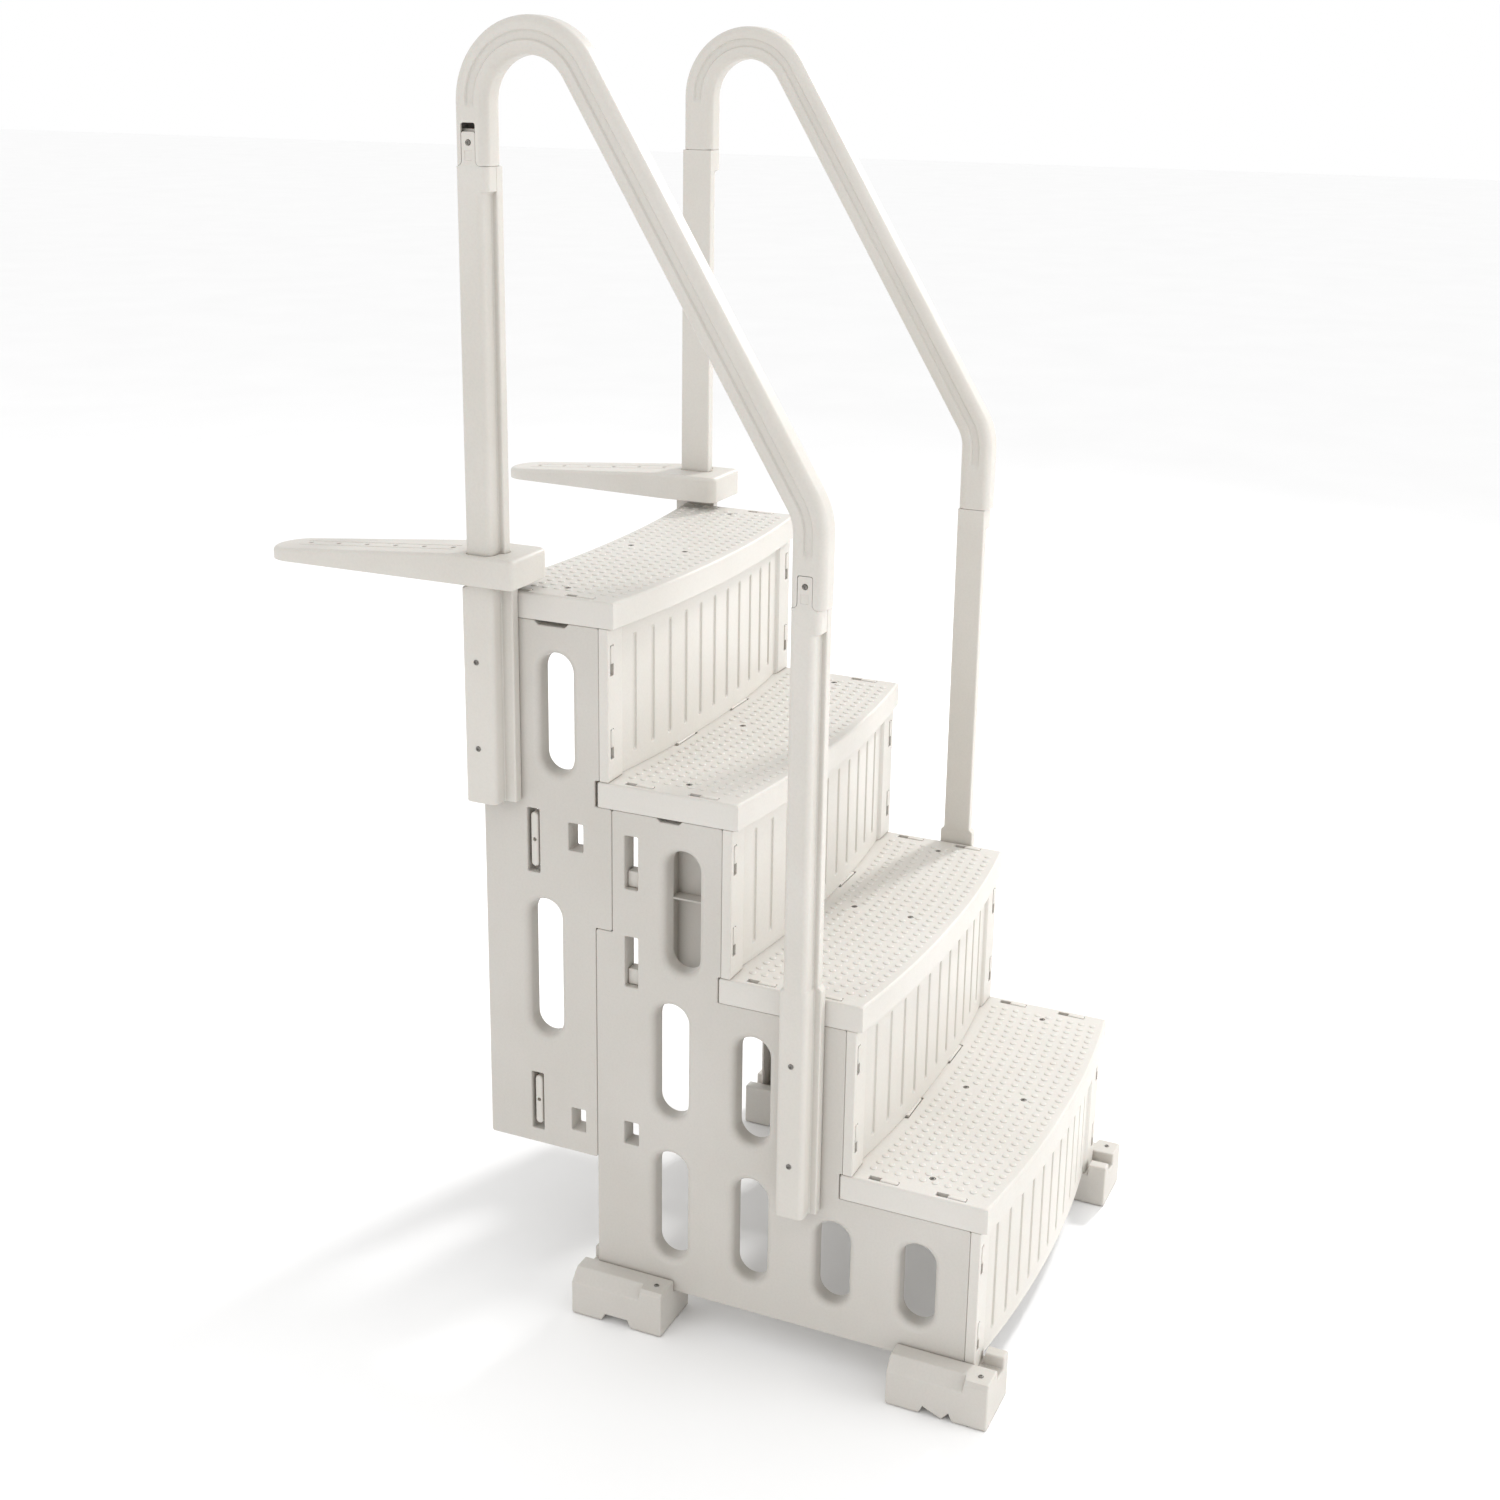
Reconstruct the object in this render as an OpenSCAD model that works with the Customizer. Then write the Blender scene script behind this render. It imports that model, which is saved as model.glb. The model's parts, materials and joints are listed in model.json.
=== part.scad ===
// Pool ladder: four treads and four bowed risers between stepped side panels, on four cradle
// feet, with a bent handrail on each side and a deck flange that slides up each rear post.
// Millimetres. +Z is up, +Y is the way up the stairs, towards the deck, and the ladder is the
// same on both sides of X = 0. The origin is on the floor, under the middle of the ladder.

/* [Stairs] */
// Width across the treads
tread_w = 700; // [640:10:760]
// Height from one tread to the next
rise = 288; // [284:1:292]
// Distance from one riser to the next
run = 210; // [208:1:214]
// Depth of the three lower treads, at their ends
tread_d = 239; // [236:1:242]
// Depth of the top tread, at its ends
top_tread_d = 220; // [212:1:224]
// Height of a tread's lip
lip_h = 42; // [38:1:46]
// How far the middle of a tread's front stands out past its ends
bow = 25; // [15:1:28]
// How far the middle of a riser stands out past its end posts
riser_bow = 20; // [12:1:22]
// Width of a riser's flat end posts
post_w = 47; // [42:1:50]
// Number of upright grooves in a riser
grooves = 11; // [8:1:13]

/* [Side panels] */
// Thickness of a side panel
panel_t = 32; // [28:1:34]
// Wall thickness of the mouldings
wall = 4; // [3:0.5:4.5]
// Width of the long slots
slot_w = 58; // [50:1:60]

/* [Handrails] */
// Width of a rail, across the ladder
rail_w = 45; // [44:1:46]
// Depth of a rail, in its own plane
rail_d = 54; // [53:1:55]
// Height of the rail's highest point
rail_top_z = 2050; // [2030:5:2080]
// Slope of the rail's long straight, from upright
rail_slope = 31.4; // [30.4:0.1:32]
// Radius of the bend at the top, along its middle
top_bend_r = 92; // [88:1:96]
// Radius of the elbow above the front post, along its middle
elbow_r = 90; // [70:5:110]

/* [Deck flanges] */
// Height of the lowest deck that the flanges rest on
deck_z = 1225; // [1220:1:1240]
// Height of a flange at its collar
collar_h = 46; // [42:1:50]
// Height of a flange at its tip
tip_h = 18; // [16:1:24]
// Number of holes along a flange
deck_holes = 6; // [4:1:6]
// Distance between those holes
deck_hole_step = 53; // [48:1:54]
// Radius of those holes
deck_hole_r = 4.5; // [3:0.5:5]

/* [Feet] */
// Height of the panels' lower edges above the floor
foot_z = 58; // [54:1:60]
// Length of a foot
foot_l = 164; // [150:1:170]
// Width of a foot
foot_w = 105; // [100:1:110]

/* [Hidden] */
$fn = 48;
// Segments of the wide shallow arcs
wide_fn = 900;
// Clearance where one piece sits in another, and overshoot of a cut
gap = 0.3;
cut = 1;

// Steps
steps = 4;
half_w = tread_w / 2;
riser_h = rise - lip_h;
bow_r = (half_w * half_w + bow * bow) / (2 * bow);
// A riser's post starts this far behind its tread's corners, and ends at the panel's edge
post_y = 8;
post_end_y = 24;
// The bowed sheet of a riser starts in a step behind the post's face
sheet_y = 14;
sheet_t = 6;
sheet_half = half_w - post_w;
riser_bow_r = (sheet_half * sheet_half + riser_bow * riser_bow) / (2 * riser_bow);
groove_w = 7;
groove_d = 2.5;
groove_end = 26;
groove_side = 43;

// Ribs under a tread
rib_t = 3;
rib_z = 8;
rib_step = (tread_w - 140) / 3;
rib_y = [12, 128];

// Latches: distances from the middle of the ladder, and back from the tread's front
latch_x = half_w - 14;
latch_w = 10;
// Half of a latch's slot, and how far the latch reaches from the slot's end past its middle
latch_slot = 24;
latch_past = 5;
tread_latch_y = [62, 171];
// Heights of a riser's latches above its lower edge, to the latch's middle
riser_latch_z = [60, 194];
// Screws in a tread: [x, y]
tread_screw_at = [[-half_w + 52, 105], [half_w - 52, 105], [0, 50], [0, 150]];
screw_r = 3;
screw_head_r = 6;

// Side panels: outlines in [y, z], heights above the panels' lower edges
panel_inner_x = half_w - panel_t;
lower_back_y = 662;
lower_step_y = 633;
lower_step_z = 617;
rear_back_y = 862;
rear_low_z = 211;
rear_top_z = steps * rise - lip_h;
// Long slots of the lower panel: [y, lowest z, highest z]
lower_slots = [[108, 55, 197], [249, 53, 198], [390, 55, 237], [531, 56, 249],
    [390, 300, 484], [531, 312, 510], [512, 568, 771]];
// Long slots of the rear panel
rear_slots = [[756, 409, 647], [731, 863, 1059]];
// Square-cornered windows: [lowest y, lowest z, size in y, size in z]
lower_windows = [[588, 528, 23, 86], [588, 694, 23, 89], [587, 249, 26, 40]];
rear_windows = [[684, 250, 26, 40], [684, 741, 26, 46]];
// Key slots of the rear panel: [lowest y, lowest z, size in y, size in z]
key_slots = [[762, 236, 22, 103], [762, 693, 22, 108]];
hook_h = 27;
// Notches in the panels' upper edges, under the third and fourth treads: [from, to, depth]
release_notches = [[512, 556, 6], [706, 766, 7]];

// Handrail: its middle line starts on the front post and ends on the rear post
rail_x = half_w + rail_w / 2 + gap;
post_in_x = half_w + gap;
post_out_x = post_in_x + rail_w;
front_rail_y = 297;
rear_rail_y = 831;
top_centre_y = rear_rail_y - top_bend_r;
top_centre_z = rail_top_z - rail_d / 2 - top_bend_r;
slope_start_y = top_centre_y - top_bend_r * cos(rail_slope);
slope_start_z = top_centre_z + top_bend_r * sin(rail_slope);
elbow_z = slope_start_z - (slope_start_y - front_rail_y) / tan(rail_slope);
elbow_run = elbow_r * tan(rail_slope / 2);
slope_l = (slope_start_y - front_rail_y) / sin(rail_slope) - elbow_run;
front_joint_z = 1252;
rear_joint_z = 1842;
front_l = elbow_z - elbow_run - front_joint_z;
rear_l = top_centre_z - rear_joint_z;
rail_edge = 11;
rail_bore_w = rail_w - 2 * wall;
rail_bore_d = rail_d - 2 * wall;
rail_bore_edge = rail_edge - 3;
bead_l = 0.6;
bead_out = 0.2;
// Length of the spigot and the tongue on top of each leg
spigot_l = 52;
tongue_w = 23;
tongue_l = 48;

// Legs: the outer body, with a thinner fin towards the front
leg_edge = 10;
fin_t = 18;
// Plans of the legs, [[body's front, body's back], fin's front], below and above the shoulder
rear_leg_low = [[812, 868], 792];
rear_leg_high = [[813, 858], 804];
front_leg_low = [[281, 329], 269];
front_leg_high = [[284, 323], 275];
// The spigot and tongue stand this far behind the rail's middle line
spigot_back = 3;
rear_leg_low_z = 813 + foot_z;
rear_shoulder_z = deck_z - 2.5;
front_leg_low_z = 219 + foot_z;
front_shoulder_z = 604 + foot_z;

// Deck flanges
collar_front_y = 768;
collar_back_y = 880;
arm_tip_y = 1224;
// Its outer side, its inner side, the middle of its tip and its line of holes
flange_out_x = half_w + 59;
flange_in_x = half_w - 52;
arm_tip_x = half_w + 16;
arm_tip_r = 43;
arm_line_x = half_w + 12;
arm_line_y = 899;
flange_wall = 5;
collar_clear = 0.7;
// Corners cut off the collar's front, outer and inner
outer_cut = 5;
inner_cut = 14;
// Solid block around the leg
block_y = [790, 876];
block_in_x = post_in_x - 10;

// Feet
foot_lip = 20;
front_foot_y = -30;
rear_foot_y = 522;
foot_out_x = half_w + 50;
foot_notch_l = 42;
foot_notch_h = 13;
foot_slope = 20;
foot_pad_l = 38;
foot_screw_in = 24;

// The floor's middle under the ladder
middle_y = (front_foot_y + arm_tip_y) / 2;

// Moves a piece from the stairs' own frame, where y = 0 is the first tread's corners
module placed() {
    translate([0, -middle_y, 0]) children();
}

module both_sides() {
    children();
    mirror([1, 0, 0]) children();
}

// Extrudes a [y, z] outline along X
module across(x0, t) {
    translate([x0, 0, 0]) rotate([90, 0, 90]) linear_extrude(t) children();
}

module box(x, y, z) {
    translate([x[0], y[0], z[0]]) cube([x[1] - x[0], y[1] - y[0], z[1] - z[0]]);
}

// Upright slot with round ends, as an outline
module stadium(y, z0, z1, w) {
    translate([y, z0 + w / 2]) circle(w / 2);
    translate([y, z1 - w / 2]) circle(w / 2);
    translate([y - w / 2, z0 + w / 2]) square([w, z1 - z0 - w]);
}

// ---- Treads ----

function tread_depth(n) = n == steps ? top_tread_d : tread_d;

module tread_outline(n, inset) {
    depth = tread_depth(n);
    difference() {
        intersection() {
            translate([-half_w + inset, -bow]) square([tread_w - 2 * inset, depth + bow - inset]);
            translate([0, bow_r - bow]) circle(bow_r - inset, $fn = wide_fn);
        }
        // The top tread's back edge is bowed like its front
        if (n == steps)
            translate([0, bow_r - bow + depth]) circle(bow_r + inset, $fn = wide_fn);
    }
}

module tread(n) {
    depth = tread_depth(n);
    placed() translate([0, (n - 1) * run, foot_z + n * rise - lip_h]) difference() {
        linear_extrude(lip_h) tread_outline(n, 0);
        difference() {
            translate([0, 0, -cut]) linear_extrude(lip_h - wall + cut) tread_outline(n, wall);
            // Ribs under the top
            for (i = [-1.5 : 1.5])
                box([i * rib_step - rib_t / 2, i * rib_step + rib_t / 2], [-bow, depth],
                    [rib_z, lip_h]);
            for (y = rib_y)
                box([-half_w, half_w], [y - rib_t / 2, y + rib_t / 2], [rib_z, lip_h]);
        }
        for (s = [-1, 1], y = tread_latch_y)
            box([s * latch_x - latch_w / 2 - gap, s * latch_x + latch_w / 2 + gap],
                [y - latch_slot - gap, y + latch_slot + gap], [lip_h - wall - cut, lip_h + cut]);
        for (p = tread_screw_at)
            translate([p[0], p[1], lip_h - wall - cut]) cylinder(r = screw_r + gap, h = wall + 2 * cut);
    }
}

module tread_1() color("linen") tread(1);
module tread_2() color("linen") tread(2);
module tread_3() color("linen") tread(3);
module tread_4() color("linen") tread(4);

// ---- Risers ----

function riser_face_y(x) =
    sheet_y - riser_bow + riser_bow_r - sqrt(riser_bow_r * riser_bow_r - x * x);

module riser_sheet(front_inset, t) {
    intersection() {
        translate([-sheet_half - cut, -riser_bow]) square([2 * sheet_half + 2 * cut, 80]);
        translate([0, sheet_y - riser_bow + riser_bow_r]) difference() {
            circle(riser_bow_r - front_inset, $fn = wide_fn);
            circle(riser_bow_r - front_inset - t, $fn = wide_fn);
        }
    }
}

module riser(n) {
    groove_step = 2 * (sheet_half - groove_side) / (grooves - 1);
    placed() translate([0, (n - 1) * run, foot_z + (n - 1) * rise]) difference() {
        union() {
            for (s = [-1, 1])
                box(s < 0 ? [-half_w, -sheet_half] : [sheet_half, half_w],
                    [post_y, post_end_y - gap], [gap, riser_h - gap]);
            translate([0, 0, gap]) linear_extrude(riser_h - 2 * gap) riser_sheet(0, sheet_t);
            // Flanges along the sheet's lower and upper edges
            for (z = [gap, riser_h - gap - wall])
                translate([0, 0, z]) linear_extrude(wall) riser_sheet(0, sheet_t + 10);
        }
        for (i = [0 : grooves - 1]) {
            x = -sheet_half + groove_side + i * groove_step;
            translate([x, riser_face_y(x) + groove_d, 0]) rotate([90, 0, 0])
                linear_extrude(10) stadium(0, groove_end, riser_h - groove_end, groove_w);
        }
        for (s = [-1, 1], z = riser_latch_z)
            box([s * latch_x - latch_w / 2 - gap, s * latch_x + latch_w / 2 + gap],
                [post_y - cut, post_end_y + cut], [z - latch_slot - gap, z + latch_slot + gap]);
    }
}

module riser_1() color("seashell") riser(1);
module riser_2() color("seashell") riser(2);
module riser_3() color("seashell") riser(3);
module riser_4() color("seashell") riser(4);

// Latches fill one end of their slots, and the other end is open
module tread_latches() {
    color("gainsboro") placed() both_sides() for (n = [1 : steps], y = tread_latch_y)
        translate([0, (n - 1) * run, foot_z + n * rise])
            box([latch_x - latch_w / 2, latch_x + latch_w / 2],
                [y - latch_slot, y + latch_past], [gap - lip_h, 1.5]);
}

module riser_latches() {
    color("gainsboro") placed() both_sides() for (n = [1 : steps], z = riser_latch_z)
        translate([0, (n - 1) * run, foot_z + (n - 1) * rise])
            box([latch_x - latch_w / 2, latch_x + latch_w / 2],
                [post_y - 1.2, post_end_y - gap], [z - latch_past, z + latch_slot]);
}

module tread_screws() {
    color("silver") placed() for (n = [1 : steps], p = tread_screw_at)
        translate([p[0], (n - 1) * run + p[1], foot_z + n * rise]) {
            translate([0, 0, gap]) cylinder(r = screw_head_r, h = 1.5);
            translate([0, 0, -12]) cylinder(r = screw_r, h = 12 + gap);
        }
}

// ---- Side panels ----

// Heights in these outlines are above the panels' lower edges
module panel_rect(y0, y1, z0, z1, inset) {
    translate([y0 + inset, z0 + inset]) square([y1 - y0 - 2 * inset, z1 - z0 - 2 * inset]);
}

module lower_outline(inset) {
    panel_rect(post_end_y, lower_back_y, 0, rise - lip_h - gap, inset);
    for (n = [2 : steps - 1]) {
        // Behind the tread below, and then over it, up to the tread above
        panel_rect((n - 2) * run + tread_d + gap, lower_step_y, 0, n * rise - lip_h - gap, inset);
        panel_rect((n - 1) * run + post_end_y, lower_step_y, (n - 1) * rise + gap,
            n * rise - lip_h - gap, inset);
    }
    panel_rect(run + tread_d + gap, lower_back_y, 0, lower_step_z, inset);
}

module rear_outline(inset) {
    panel_rect(lower_back_y + gap, rear_back_y, rear_low_z, rear_top_z - gap, inset);
    panel_rect(lower_step_y + gap, rear_back_y, lower_step_z + gap, 3 * rise - lip_h - gap, inset);
    panel_rect(3 * run + post_end_y, rear_back_y, 3 * rise + gap, rear_top_z - gap, inset);
}

// Slots and windows, each grown by the given amount
module openings(slots, windows, grow) {
    for (s = slots) stadium(s[0], s[1] - grow, s[2] + grow, slot_w + 2 * grow);
    for (w = windows)
        translate([w[0] - grow, w[1] - grow]) square([w[2] + 2 * grow, w[3] + 2 * grow]);
}

module release_notch(n, top) {
    polygon([[n[0], top + cut], [n[1], top + cut], [n[1] - n[2], top - n[2]],
        [n[0] + n[2], top - n[2]]]);
}

// Shell with its skin outside and its walls standing inwards. Its children are the outline, the
// hollow's outline, the ribs that cross the hollow, and the notch in the upper edge.
module panel_shell(slots, windows) {
    translate([0, 0, foot_z]) difference() {
        across(-half_w, panel_t) difference() {
            children(0);
            openings(slots, windows, 0);
            children(3);
        }
        across(-half_w + wall, panel_t) difference() {
            children(1);
            openings(slots, windows, wall);
            children(2);
            translate([0, -wall]) children(3);
        }
    }
}

module lower_panel() {
    placed() panel_shell(lower_slots, lower_windows) {
        lower_outline(0);
        lower_outline(wall);
        for (z = [272, 545]) translate([0, z]) square([lower_back_y, wall]);
        release_notch(release_notches[0], 3 * rise - lip_h);
    }
}

module rear_panel() {
    placed() panel_shell(rear_slots, concat(rear_windows, key_slots)) {
        rear_outline(0);
        rear_outline(wall);
        for (z = [372, 668, 842])
            translate([lower_step_y, z]) square([rear_back_y - lower_step_y, wall]);
        release_notch(release_notches[1], steps * rise - lip_h);
    }
}

module lower_side_panel_left() color("antiquewhite") lower_panel();
module lower_side_panel_right() color("antiquewhite") mirror([1, 0, 0]) lower_panel();
module rear_side_panel_left() color("antiquewhite") rear_panel();
module rear_side_panel_right() color("antiquewhite") mirror([1, 0, 0]) rear_panel();

// Round-ended keys that stand in the rear panel's key slots, and the hooks that the lower
// panel's two tall windows rest on
module panel_keys() {
    placed() translate([0, 0, foot_z]) {
        for (k = key_slots)
            across(-half_w + 3, panel_t - 3)
                stadium(k[0] + k[2] / 2, k[1] + 8, k[1] + k[3] - 8, k[2] - 8);
        for (w = [lower_windows[0], lower_windows[1]])
            box([-half_w + 10, -panel_inner_x], [w[0] + gap, w[0] + w[2] - gap],
                [w[1] + gap, w[1] + hook_h]);
    }
}

module panel_keys_left() color("gainsboro") panel_keys();
module panel_keys_right() color("gainsboro") mirror([1, 0, 0]) panel_keys();

// ---- Handrails ----

// Rectangle with cut corners, about its own middle
module cut_rect(w, d, edge) {
    x = w / 2;
    y = d / 2;
    polygon([[-x + edge, -y], [x - edge, -y], [x, -y + edge], [x, y - edge], [x - edge, y],
        [-x + edge, y], [-x, y - edge], [-x, -y + edge]]);
}

// Straight stretch of rail along +Y, with its width along Z
module rail_straight(length, w, d, edge) {
    rotate([-90, 0, 0]) linear_extrude(length) cut_rect(d, w, edge);
}

module rail_bend(radius, angle, w, d, edge) {
    rotate_extrude(angle = angle, $fn = 96) translate([radius, 0]) cut_rect(d, w, edge);
}

// Fine bead around a joint between two stretches, which ties them together
module rail_bead(y, radius, w, d, edge) {
    translate([radius, y - bead_l / 2, 0])
        rail_straight(bead_l, w + bead_out, d + bead_out, edge);
}

// Sweeps a section of width w and depth d along the rail's middle line, which lies in the XY
// plane of each frame in turn, starting past the front joint and ending past the rear joint
module rail_sweep(w, d, edge, side, past) {
    translate([side, front_rail_y + elbow_r, elbow_z - elbow_run]) rotate([90, 0, -90]) {
        translate([elbow_r, -(front_l + past), 0]) rail_straight(front_l + past, w, d, edge);
        rail_bead(0, elbow_r, w, d, edge);
        rail_bend(elbow_r, rail_slope, w, d, edge);
        rotate([0, 0, rail_slope]) {
            rail_bead(0, elbow_r, w, d, edge);
            translate([elbow_r, 0, 0]) rail_straight(slope_l, w, d, edge);
            rail_bead(slope_l, elbow_r, w, d, edge);
            translate([elbow_r - top_bend_r, slope_l, 0]) {
                rail_bend(top_bend_r, 180 - rail_slope, w, d, edge);
                rotate([0, 0, 180 - rail_slope]) {
                    rail_bead(0, top_bend_r, w, d, edge);
                    translate([top_bend_r, 0, 0]) rail_straight(rear_l + past, w, d, edge);
                }
            }
        }
    }
}

module upper_rail() {
    placed() difference() {
        rail_sweep(rail_w, rail_d, rail_edge, -rail_x, 0);
        rail_sweep(rail_bore_w, rail_bore_d, rail_bore_edge, -rail_x, cut);
        // Windows for the legs' tongues
        for (p = [[front_rail_y + spigot_back, front_joint_z],
                [rear_rail_y + spigot_back, rear_joint_z]])
            box([-post_out_x - cut, -post_out_x + wall + cut],
                [p[0] - tongue_w / 2 - gap, p[0] + tongue_w / 2 + gap],
                [p[1] - cut, p[1] + tongue_l + gap]);
    }
}

module upper_rail_left() color("linen") upper_rail();
module upper_rail_right() color("linen") mirror([1, 0, 0]) upper_rail();

// Plan of a leg: a body with cut outer corners, and a fin on its front, all grown by g
module leg_plan(body, fin_y, g) {
    translate([-post_out_x - g, body[0] - g]) {
        w = rail_w + 2 * g;
        d = body[1] - body[0] + 2 * g;
        polygon([[leg_edge, 0], [w, 0], [w, d], [leg_edge, d], [0, d - leg_edge], [0, leg_edge]]);
    }
    translate([-post_in_x - fin_t - g, fin_y - g])
        square([fin_t + 2 * g, body[0] - fin_y + 2 * g]);
}

// Leg with a wide lower part up to the shoulder, and a spigot and tongue in the rail above it
module leg(low, high, low_z, shoulder_z, joint_z, axis_y) {
    bore_w = rail_w - 2 * wall;
    placed() difference() {
        union() {
            translate([0, 0, low_z]) linear_extrude(shoulder_z - low_z) leg_plan(low[0], low[1], 0);
            translate([0, 0, shoulder_z]) linear_extrude(joint_z - gap - shoulder_z)
                leg_plan(high[0], high[1], 0);
            translate([-rail_x, axis_y, joint_z - 20]) linear_extrude(spigot_l + 20)
                cut_rect(rail_bore_w - 2 * gap, high[0][1] - high[0][0] - 2 * wall,
                    rail_bore_edge);
            box([-post_out_x, -rail_x], [axis_y - tongue_w / 2, axis_y + tongue_w / 2],
                [joint_z - 20, joint_z + tongue_l]);
        }
        box([-rail_x - bore_w / 2, -rail_x + bore_w / 2], [high[0][0] + wall, high[0][1] - wall],
            [low_z - cut, joint_z - 30]);
    }
}

module rear_leg() {
    leg(rear_leg_low, rear_leg_high, rear_leg_low_z, rear_shoulder_z, rear_joint_z,
        rear_rail_y + spigot_back);
}

module front_leg() {
    leg(front_leg_low, front_leg_high, front_leg_low_z, front_shoulder_z, front_joint_z,
        front_rail_y + spigot_back);
}

module front_leg_left() color("linen") front_leg();
module front_leg_right() color("linen") mirror([1, 0, 0]) front_leg();
module rear_leg_left() color("linen") rear_leg();
module rear_leg_right() color("linen") mirror([1, 0, 0]) rear_leg();

// Screw with its head on a leg's outer face, standing along X
module side_screw(y, z, out_x, length) {
    translate([-out_x - gap, y, z]) rotate([0, -90, 0]) cylinder(r = screw_head_r, h = 1.5);
    translate([-out_x - gap, y, z]) rotate([0, 90, 0]) cylinder(r = screw_r, h = length);
}

module rail_screws() {
    color("silver") placed() both_sides() {
        side_screw(front_rail_y + spigot_back, front_joint_z + 34, post_out_x, gap);
        side_screw(rear_rail_y + spigot_back, rear_joint_z + 34, post_out_x, gap);
    }
}

module leg_screws() {
    color("silver") placed() both_sides() {
        for (z = [front_leg_low_z + 90, front_leg_low_z + 260])
            side_screw(305, z, post_out_x, gap);
        for (z = [rear_leg_low_z + 90, rear_leg_low_z + 230])
            side_screw(842, z, post_out_x, gap);
    }
}

// ---- Deck flanges ----

module flange_plan(inset) {
    out = -flange_out_x + inset;
    in = -flange_in_x - inset;
    tip = arm_tip_r - inset;
    tip_y = arm_tip_y - arm_tip_r;
    front = collar_front_y + inset;
    polygon([[out, front + outer_cut], [out + outer_cut, front], [in - inner_cut, front],
        [in, front + inner_cut], [in, collar_back_y], [-arm_tip_x + tip, tip_y],
        [-arm_tip_x - tip, tip_y], [out, collar_back_y]]);
    translate([-arm_tip_x, tip_y]) circle(tip);
}

// Side view of a flange, [y, z] above its underside, lowered by inset at the top
module flange_side(inset) {
    polygon([[collar_front_y - cut, -cut], [arm_tip_y + cut, -cut], [arm_tip_y + cut, tip_h - inset],
        [collar_back_y, collar_h - inset], [collar_front_y - cut, collar_h - inset]]);
}

module deck_flange() {
    flange_w = flange_out_x - flange_in_x;
    placed() translate([0, 0, deck_z]) difference() {
        intersection() {
            linear_extrude(collar_h) flange_plan(0);
            across(-flange_out_x - cut, flange_w + 2 * cut) flange_side(0);
        }
        // The arm and the collar are hollow from below, around the leg's block and the holes
        intersection() {
            translate([0, 0, -cut]) linear_extrude(collar_h) difference() {
                flange_plan(flange_wall);
                translate([-flange_out_x, block_y[0]])
                    square([flange_out_x - block_in_x, block_y[1] - block_y[0]]);
                for (i = [0 : deck_holes - 1])
                    translate([-arm_line_x, arm_line_y + i * deck_hole_step])
                        circle(deck_hole_r + 4);
            }
            across(-flange_out_x - cut, flange_w + 2 * cut) flange_side(flange_wall);
        }
        translate([0, 0, -cut]) linear_extrude(collar_h + 2 * cut)
            leg_plan(rear_leg_high[0], rear_leg_high[1], collar_clear);
        for (i = [0 : deck_holes - 1])
            translate([-arm_line_x, arm_line_y + i * deck_hole_step, -cut])
                cylinder(r = deck_hole_r, h = collar_h + 2 * cut);
    }
}

module deck_flange_left() color("ivory") deck_flange();
module deck_flange_right() color("ivory") mirror([1, 0, 0]) deck_flange();

// ---- Feet ----

// Cross-section of a foot, [x, z], with its outer upper edge cut off by the given amount
module foot_section(edge) {
    x0 = -foot_out_x;
    x1 = x0 + foot_w;
    top = foot_z + foot_lip;
    polygon([[x0, 0], [x1, 0], [x1, top - 3], [x1 - 3, top], [x0 + edge, top], [x0, top - edge]]);
}

// Cradle foot: a slot takes the side panel, and the front one also has a slot for the riser
module foot(y0, riser_slot) {
    placed() difference() {
        union() {
            translate([0, y0 + foot_l, 0]) rotate([90, 0, 0]) linear_extrude(foot_l)
                foot_section(foot_slope);
            translate([0, y0 + foot_pad_l, 0]) rotate([90, 0, 0]) linear_extrude(foot_pad_l)
                foot_section(4);
        }
        box([-half_w - gap, -panel_inner_x + gap], [y0 - cut, y0 + foot_l + cut],
            [foot_z - gap, foot_z + foot_lip + cut]);
        if (riser_slot)
            box([-half_w - gap, -foot_out_x + foot_w + cut], [post_y - 6, post_end_y + 18],
                [foot_z - gap, foot_z + foot_lip + cut]);
        box([-foot_out_x - cut, -foot_out_x + foot_w + cut],
            [y0 + (foot_l - foot_notch_l) / 2, y0 + (foot_l + foot_notch_l) / 2],
            [-cut, foot_notch_h]);
        translate([-foot_out_x + foot_screw_in, y0 + foot_pad_l / 2, foot_z + foot_lip - 14])
            cylinder(r = screw_r, h = 14 + cut);
    }
}

module front_foot_left() color("antiquewhite") foot(front_foot_y, true);
module front_foot_right() color("antiquewhite") mirror([1, 0, 0]) foot(front_foot_y, true);
module rear_foot_left() color("antiquewhite") foot(rear_foot_y, false);
module rear_foot_right() color("antiquewhite") mirror([1, 0, 0]) foot(rear_foot_y, false);

module foot_screws() {
    color("silver") placed() both_sides() for (y = [front_foot_y, rear_foot_y])
        translate([-foot_out_x + foot_screw_in, y + foot_pad_l / 2, foot_z + foot_lip]) {
            translate([0, 0, gap]) cylinder(r = screw_head_r - 2, h = 1.5);
            translate([0, 0, -12]) cylinder(r = screw_r - gap, h = 12 + gap);
        }
}

tread_1();
tread_2();
tread_3();
tread_4();
riser_1();
riser_2();
riser_3();
riser_4();
lower_side_panel_left();
lower_side_panel_right();
rear_side_panel_left();
rear_side_panel_right();
upper_rail_left();
upper_rail_right();
front_leg_left();
front_leg_right();
rear_leg_left();
rear_leg_right();
deck_flange_left();
deck_flange_right();
front_foot_left();
front_foot_right();
rear_foot_left();
rear_foot_right();
tread_latches();
riser_latches();
panel_keys_left();
panel_keys_right();
rail_screws();
leg_screws();
tread_screws();
foot_screws();
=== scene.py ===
import json
import math

import bmesh
import bpy
from mathutils import Matrix, Vector
from mathutils.geometry import tessellate_polygon

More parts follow.
